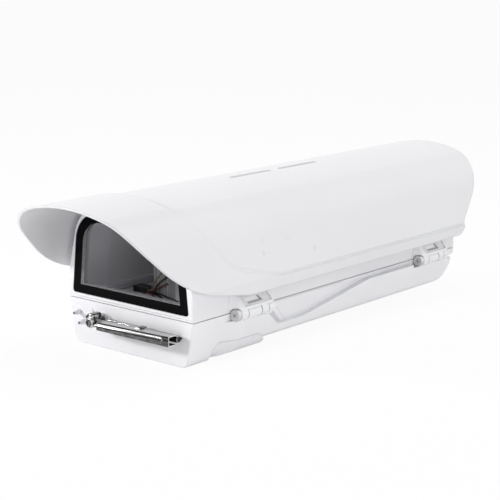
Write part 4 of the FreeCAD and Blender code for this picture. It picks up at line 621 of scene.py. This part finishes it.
set_side, set_lean = 0.097, 0.371
pocket_foot, pocket_slant = 0.0056, 0.464
pocket_front, pocket_rear = (-0.1769, -0.1763), (-0.1361, -0.1355)
pocket_low, pocket_high = (0.0053, 0.0058), (0.0265, 0.0275)
pocket_rim, pocket_floor = (0.0001, 0.0004), (0.0009, 0.0013)
pocket_back = (0.0038, 0.0042)
pocket_end = (-0.1372, -0.1368)
eyelet_foot, eyelet_slant = 0.0072, 0.821
eyelet_floor = (0.002, 0.0024)
eyelet_rear, eyelet_low = (-0.1512, -0.15), (0.0084, 0.0092)
inner_wall_front = (-0.1895, -0.1885)
sill_high, sill_half = (0.017, 0.018), (0.069, 0.07)
reveal_rear = (-0.2245, -0.2235)
# painted shade for the pockets, their ends and eyelets, the inner walls and the window
# reveal; the eyelet floor is painted an even light grey
cover_painted_light_and_shade = {
    "pocket floor": grey(0.78), "pocket end": grey(0.68), "eyelet": grey(0.88),
    "eyelet shade": grey(0.46), "inner_wall_shade": grey(0.6), "reveal": grey(0.4),
}


def cover_marks(place, tint):
    """Paints shade into the brackets' pockets and eyelets, the joints, the inner walls and
    the reveal.
    """
    height = place.part("Z") - rim_height
    depth = set_side - set_lean * height - from_side(place)
    along = along_set(place) + pocket_slant * (height - pocket_foot)
    inside = along.rise(*pocket_front) * along.fall(*pocket_rear)
    inside = inside * height.rise(*pocket_low) * height.fall(*pocket_high)
    inside = inside * depth.fall(*pocket_back)
    floor = inside * depth.rise(*pocket_floor)
    end = inside * along.rise(*pocket_end) * depth.rise(*pocket_rim)
    eyelet = inside * depth.rise(*eyelet_floor)
    along = along_set(place) + eyelet_slant * (height - eyelet_foot)
    eyelet_shade = eyelet * (along.rise(*eyelet_rear) + height.fall(*eyelet_low)).clamped()
    facing = outward(place)
    turned_in = (facing.part("X") * place.part("X")).fall(-0.03, -0.01)
    inner_wall_shade = turned_in * place.part("Y").rise(*inner_wall_front)
    sill = facing.part("Z").rise(0.6, 0.8) * height.fall(*sill_high)
    sill = sill * from_side(place).fall(*sill_half)
    reveal = turned_in.at_least(sill) * place.part("Y").fall(*reveal_rear)
    # painted shade over the moulded tone, with the eyelet floor painted light
    tint = floor.mix(tint, cover_painted_light_and_shade["pocket floor"])
    tint = end.mix(tint, cover_painted_light_and_shade["pocket end"])
    tint = eyelet.mix(tint, cover_painted_light_and_shade["eyelet"])
    tint = eyelet_shade.mix(tint, cover_painted_light_and_shade["eyelet shade"])
    tint = (0.25 * inner_wall_shade).mix(tint, cover_painted_light_and_shade["inner_wall_shade"])
    return joints(place, reveal.mix(tint, cover_painted_light_and_shade["reveal"]))


dress(moulded_white("cover white", level=0.88, gloss=0.6, marks=cover_marks), "cover_shell")


# Window: a clear flat pane set in the cover's front on its rubber frame, with a black
# border printed round its edge. It is coated against reflections, with faint wipe marks.
def shown_as(material, shader):
    """Makes shader the material's surface."""
    tree = material.node_tree
    tree.links.new(shader.socket, tree.nodes["Material Output"].inputs["Surface"])


sight_half = 0.0679
sight_lean = 0.105
sight_low = 0.0609
sight_high = 0.1264
sight_radius = 0.021
border_edge = (-0.0001, 0.0001)
border_black = tone(0.0045, 0.0045, 0.005)
clear_tint = tone(0.95, 0.95, 0.955)
clear_gloss = 0.012
window_pane, skin, place = finish("window pane", border_black, gloss=0.93)
smear = place.noise((40.0, 40.0, 9.0))
skin.inputs["Specular IOR Level"].default_value = 0.02
feed(skin, "Roughness", 0.05 + 0.05 * smear)
feed(skin, "Normal", smear.node("Bump", {}, {"Height": smear, "Distance": 0.00002}))
height = place.part("Z")
out = from_side(place) + sight_lean * (height - sight_low)
aside = (out - (sight_half - sight_radius)).at_least(0.0)
above = (height - (sight_high - sight_radius)).at_least(0.0)
past_corner = (aside * aside + above * above) ** 0.5 - sight_radius
border = past_corner.at_least(sight_low - height).rise(*border_edge)
border = border * outward(place).part("Y").fall(-0.6, -0.4)
clear = border.node("BsdfTransparent", {}, {"Color": clear_tint})
share = (border + clear_gloss + clear_gloss * smear).clamped()
pane_sides = {"Fac": share, 1: clear, 2: Shade(skin.outputs["BSDF"])}
shown_as(window_pane, share.node("MixShader", {}, pane_sides))
dress(window_pane, "window_glass")


# Sunshield: one long thin white hood, pressed smooth and satin, standing off the cover on
# four spacers with screws. Its front reaches out as a visor, with faint sink marks.
sink_marks = [
    ((0.0848, -0.139, 0.1093), 0.0026, 0.1), ((0.0881, -0.1409, 0.098), 0.0023, 0.2),
    ((0.086, -0.1006, 0.1053), 0.0026, 0.08), ((0.0902, -0.0619, 0.0906), 0.0025, 0.2),
    ((0.076, -0.0991, 0.1307), 0.0007, 0.4), ((0.0869, 0.049, 0.1022), 0.0006, 0.4),
]
shield_even, shield_cloud, shield_lighter_edge = grey(0.82), grey(0.8), grey(0.92)
sink_painted_shade = grey(0.5)
shield_white, skin, place = finish("shield white", tone(0.88, 0.88, 0.9), gloss=0.62)
cloud = place.noise(7.0, detail=3.0).rise(0.3, 0.7)
grain = place.noise(1500.0)
worn = rubbed_edges(place, width=0.0009)
sink = sum(
    strength * place.vector("DISTANCE", centre, "Value").fall(0.7 * radius, 1.2 * radius)
    for centre, radius, strength in sink_marks
)
tint = (0.8 * cloud + 0.2 * grain).mix(shield_cloud, shield_even)
# the sharp edges are painted lighter
tint = (0.6 * worn).mix(tint, shield_lighter_edge)
# painted shade in the sink marks, which the bump also dips
feed(skin, "Base Color", sink.mix(tint, sink_painted_shade))
feed(skin, "Roughness", 0.38 + 0.08 * (grain - 0.5) - 0.06 * worn)
relief(skin, 0.25 * grain - sink, depth=0.0001, rounding=0.0016)
dress(shield_white, "sunshield")
dress(trim_white, "shield_spacers")
dress(screw_steel, "shield_screws")


# Wiper: a bright pressed channel over a blade carrier with a black rubber lip. It pivots
# on a polished hub that a nut holds on the shaft, and a coil spring presses it down.
steel = tone(0.76, 0.76, 0.755)
black = tone(0.012, 0.012, 0.013)
streak_grey = tone(0.3, 0.3, 0.3)
# painted reflections for the channel: a greyed top face, dark lines and bands across the
# front, a dark line along the top's rear edge
top_painted_reflection_grey = tone(0.18, 0.18, 0.18)
painted_reflection_black = tone(0.016, 0.016, 0.017)
top_line_painted_reflection = tone(0.06, 0.06, 0.06)
shaft_off, shaft_height = 0.035, 0.0305
channel_start, channel_height, channel_climb = -0.0255, 0.0328, 0.0258
upper_line_start, upper_line_end = (-0.0002, 0.0001), (0.0014, 0.0017)
rib_edge, foot_edge = (0.0027, 0.0033), (0.0042, 0.0054)
rib_end, top_edge = (0.0615, 0.063), (0.0, 0.0004)
top_line_edge = (-0.2522, -0.2512)
inner_shade_low, inner_shade_rear = (-0.0024, -0.0012), (-0.2596, -0.2588)
channel_bright, skin, place = finish("channel bright", steel, gloss=0.88, metal=1.0)
streak = place.noise((9.0, 700.0, 900.0), detail=3.0)
blotch = place.noise((150.0, 100.0, 600.0), detail=3.0).rise(0.35, 0.65)
channel_top = channel_height + channel_climb * (place.part("X") - channel_start)
below_top = channel_top - place.part("Z")
upper_line = below_top.rise(*upper_line_start) * below_top.fall(*upper_line_end)
under_rib = below_top.rise(*rib_edge)
lowest = below_top.rise(*foot_edge)
past_rib = place.part("X").rise(*rib_end) * below_top.rise(*top_edge)
facing = outward(place)
front = facing.part("Y").fall(-0.8, -0.3)
upward = facing.part("Z").rise(0.5, 0.8)
top_line = upward * place.part("Y").rise(*top_line_edge)
# painted dark reflections below the top edge, under the rib and past its end
painted_dark_reflection = upper_line + under_rib * (1.0 - lowest * (0.12 + 0.22 * blotch))
painted_dark_reflection = front * painted_dark_reflection.at_least(0.84 * past_rib).clamped()
inward = facing.part("Z") * (place.part("Z") - shaft_height)
# painted shade: the inner faces are made black, matt and not metallic
painted_inner_shade = inward.fall(*inner_shade_low) * place.part("Y").rise(*inner_shade_rear)
base = (0.1 * streak.rise(0.4, 0.7)).mix(steel, streak_grey)
base = painted_dark_reflection.mix((0.6 * upward).mix(base, top_painted_reflection_grey), painted_reflection_black)
base = (0.8 * top_line).mix(base, top_line_painted_reflection)
feed(skin, "Base Color", painted_inner_shade.mix(base, black))
feed(skin, "Metallic", 1.0 - painted_inner_shade)
feed(skin, "Roughness", 0.24 + 0.1 * streak + 0.5 * painted_inner_shade)
relief(skin, streak, depth=0.00002, rounding=0.0003)
# the carrier's black streaks are painted reflections
carrier_steel = streaked_steel(
    "carrier steel", tone(0.42, 0.42, 0.42), black, lines=(6.0, 420.0, 520.0), contrast=0.9
)


def mirror_steel(name, patch_scale, patch_limits, reflection_paint):
    """Polished steel with dark reflections painted into its colour, from 0 to 1 at each
    point.
    """
    material, skin, place = finish(name, steel, gloss=0.88, metal=1.0)
    patch = place.noise(patch_scale).rise(*patch_limits)
    # painted reflection: dark patches in the colour, kept off the rubbed edges so these
    # read bright
    dark = reflection_paint(place, patch) * (1.0 - rubbed_edges(place, width=0.0004))
    feed(skin, "Base Color", dark.mix(steel, black))
    feed(skin, "Roughness", 0.12 + 0.12 * patch)
    relief(skin, patch, depth=0.0001, rounding=0.0003)
    return material


def hub_painted_reflection(place, patch):
    """Painted reflection: dark on top, and in patches elsewhere."""
    top = outward(place).part("Z").rise(0.3, 0.7)
    return (0.2 * patch + 0.8 * top + 0.75 * patch * (1.0 - top)).clamped()


def nut_painted_reflection(place, patch):
    """Painted reflection: dark in the middle and bright round it."""
    rim_edge = (0.0038, 0.0042)
    rim = from_axis(place, shaft_off, shaft_height).rise(*rim_edge)
    return (0.72 + 0.28 * patch) * (1.0 - 0.8 * rim)


dress(channel_bright, "wiper_channel")
dress(carrier_steel, "blade_carrier", "blade_rivet")
dress(mirror_steel("hub bright", 240.0, (0.42, 0.58), hub_painted_reflection), "wiper_hub")
dress(mirror_steel("nut bright", 330.0, (0.4, 0.6), nut_painted_reflection), "hub_nut", "wiper_shaft")
dress(screw_steel, "arm_pivot_pin", "arm_spring")
dress(soft_rubber("blade rubber", black, dust=0.08), "wiper_rubber")


# Studio: the housing lies on a wide pale table on its chin and gland plugs, under a large
# soft lamp above, two lamps in front and one beside its hinge, in an even white surround.
chin_rest = Vector((0.0, -0.236, 0.0))
plug_rest = Vector((0.0, 0.108, -0.0091))
table_half = 25.0
table_gap = 0.0001
table_glow = 0.94
slope = (plug_rest.z - chin_rest.z) / (plug_rest.y - chin_rest.y)
corners = []
for side, end in [(-1.0, -1.0), (1.0, -1.0), (1.0, 1.0), (-1.0, 1.0)]:
    x, y = side * table_half, end * table_half
    corners.append((x, y, chin_rest.z + slope * (y - chin_rest.y) - table_gap))
table_mesh = bpy.data.meshes.new("table")
table_mesh.from_pydata(corners, [], [(0, 1, 2, 3)])
table = add("table", table_mesh)
table_white, skin, place = finish("table white", tone(0.9, 0.9, 0.9), gloss=0.1)
skin.inputs["Specular IOR Level"].default_value = 0.0
direct = place.node("LightPath", output="Is Camera Ray")
glow = direct.node("Emission", {}, {"Color": tone(1.0, 1.0, 1.0), "Strength": 1.0})
table_sides = {"Fac": table_glow * direct, 1: Shade(skin.outputs["BSDF"]), 2: glow}
shown_as(table_white, direct.node("MixShader", {}, table_sides))
table.data.materials.append(table_white)


def soft_lamp(name, place, target, size, power):
    """A large square lamp that points at target."""
    light = bpy.data.lights.new(name, "AREA")
    light.size = size
    light.energy = power
    lamp = add(name, light)
    lamp.location = place
    aim = Vector(target) - Vector(place)
    lamp.rotation_euler = aim.to_track_quat("-Z", "Y").to_euler()


middle = (0.0, 0.0, 0.05)
soft_lamp("lamp above", (0.4, 0.3, 2.2), (0.0, 0.0, 0.1), size=1.6, power=20.0)
soft_lamp("lamp front left", (-1.7, -1.9, 1.0), middle, size=0.4, power=40.0)
soft_lamp("lamp front right", (0.9, -2.6, 0.3), middle, size=1.5, power=2.0)
soft_lamp("lamp beside", (2.6, -0.3, 0.05), middle, size=1.2, power=24.0)
surround_light = 0.48
surround = bpy.data.worlds.new("surround")
surround.use_nodes = True
bpy.context.scene.world = surround
sky = surround.node_tree.nodes["Background"]
sky.inputs["Color"].default_value = tone(1.0, 1.0, 1.0)
rays = Shade(sky.inputs["Color"])
shown = rays.node("LightPath", output="Is Camera Ray")
mirrored = rays.node("LightPath", output="Is Glossy Ray")
through = rays.node("LightPath", output="Is Transmission Ray")
white_share = (shown + mirrored + through).clamped()
brightness = surround_light + (1.0 - surround_light) * white_share
feed(sky, "Strength", brightness)

bpy.context.scene.view_settings.view_transform = "Standard"
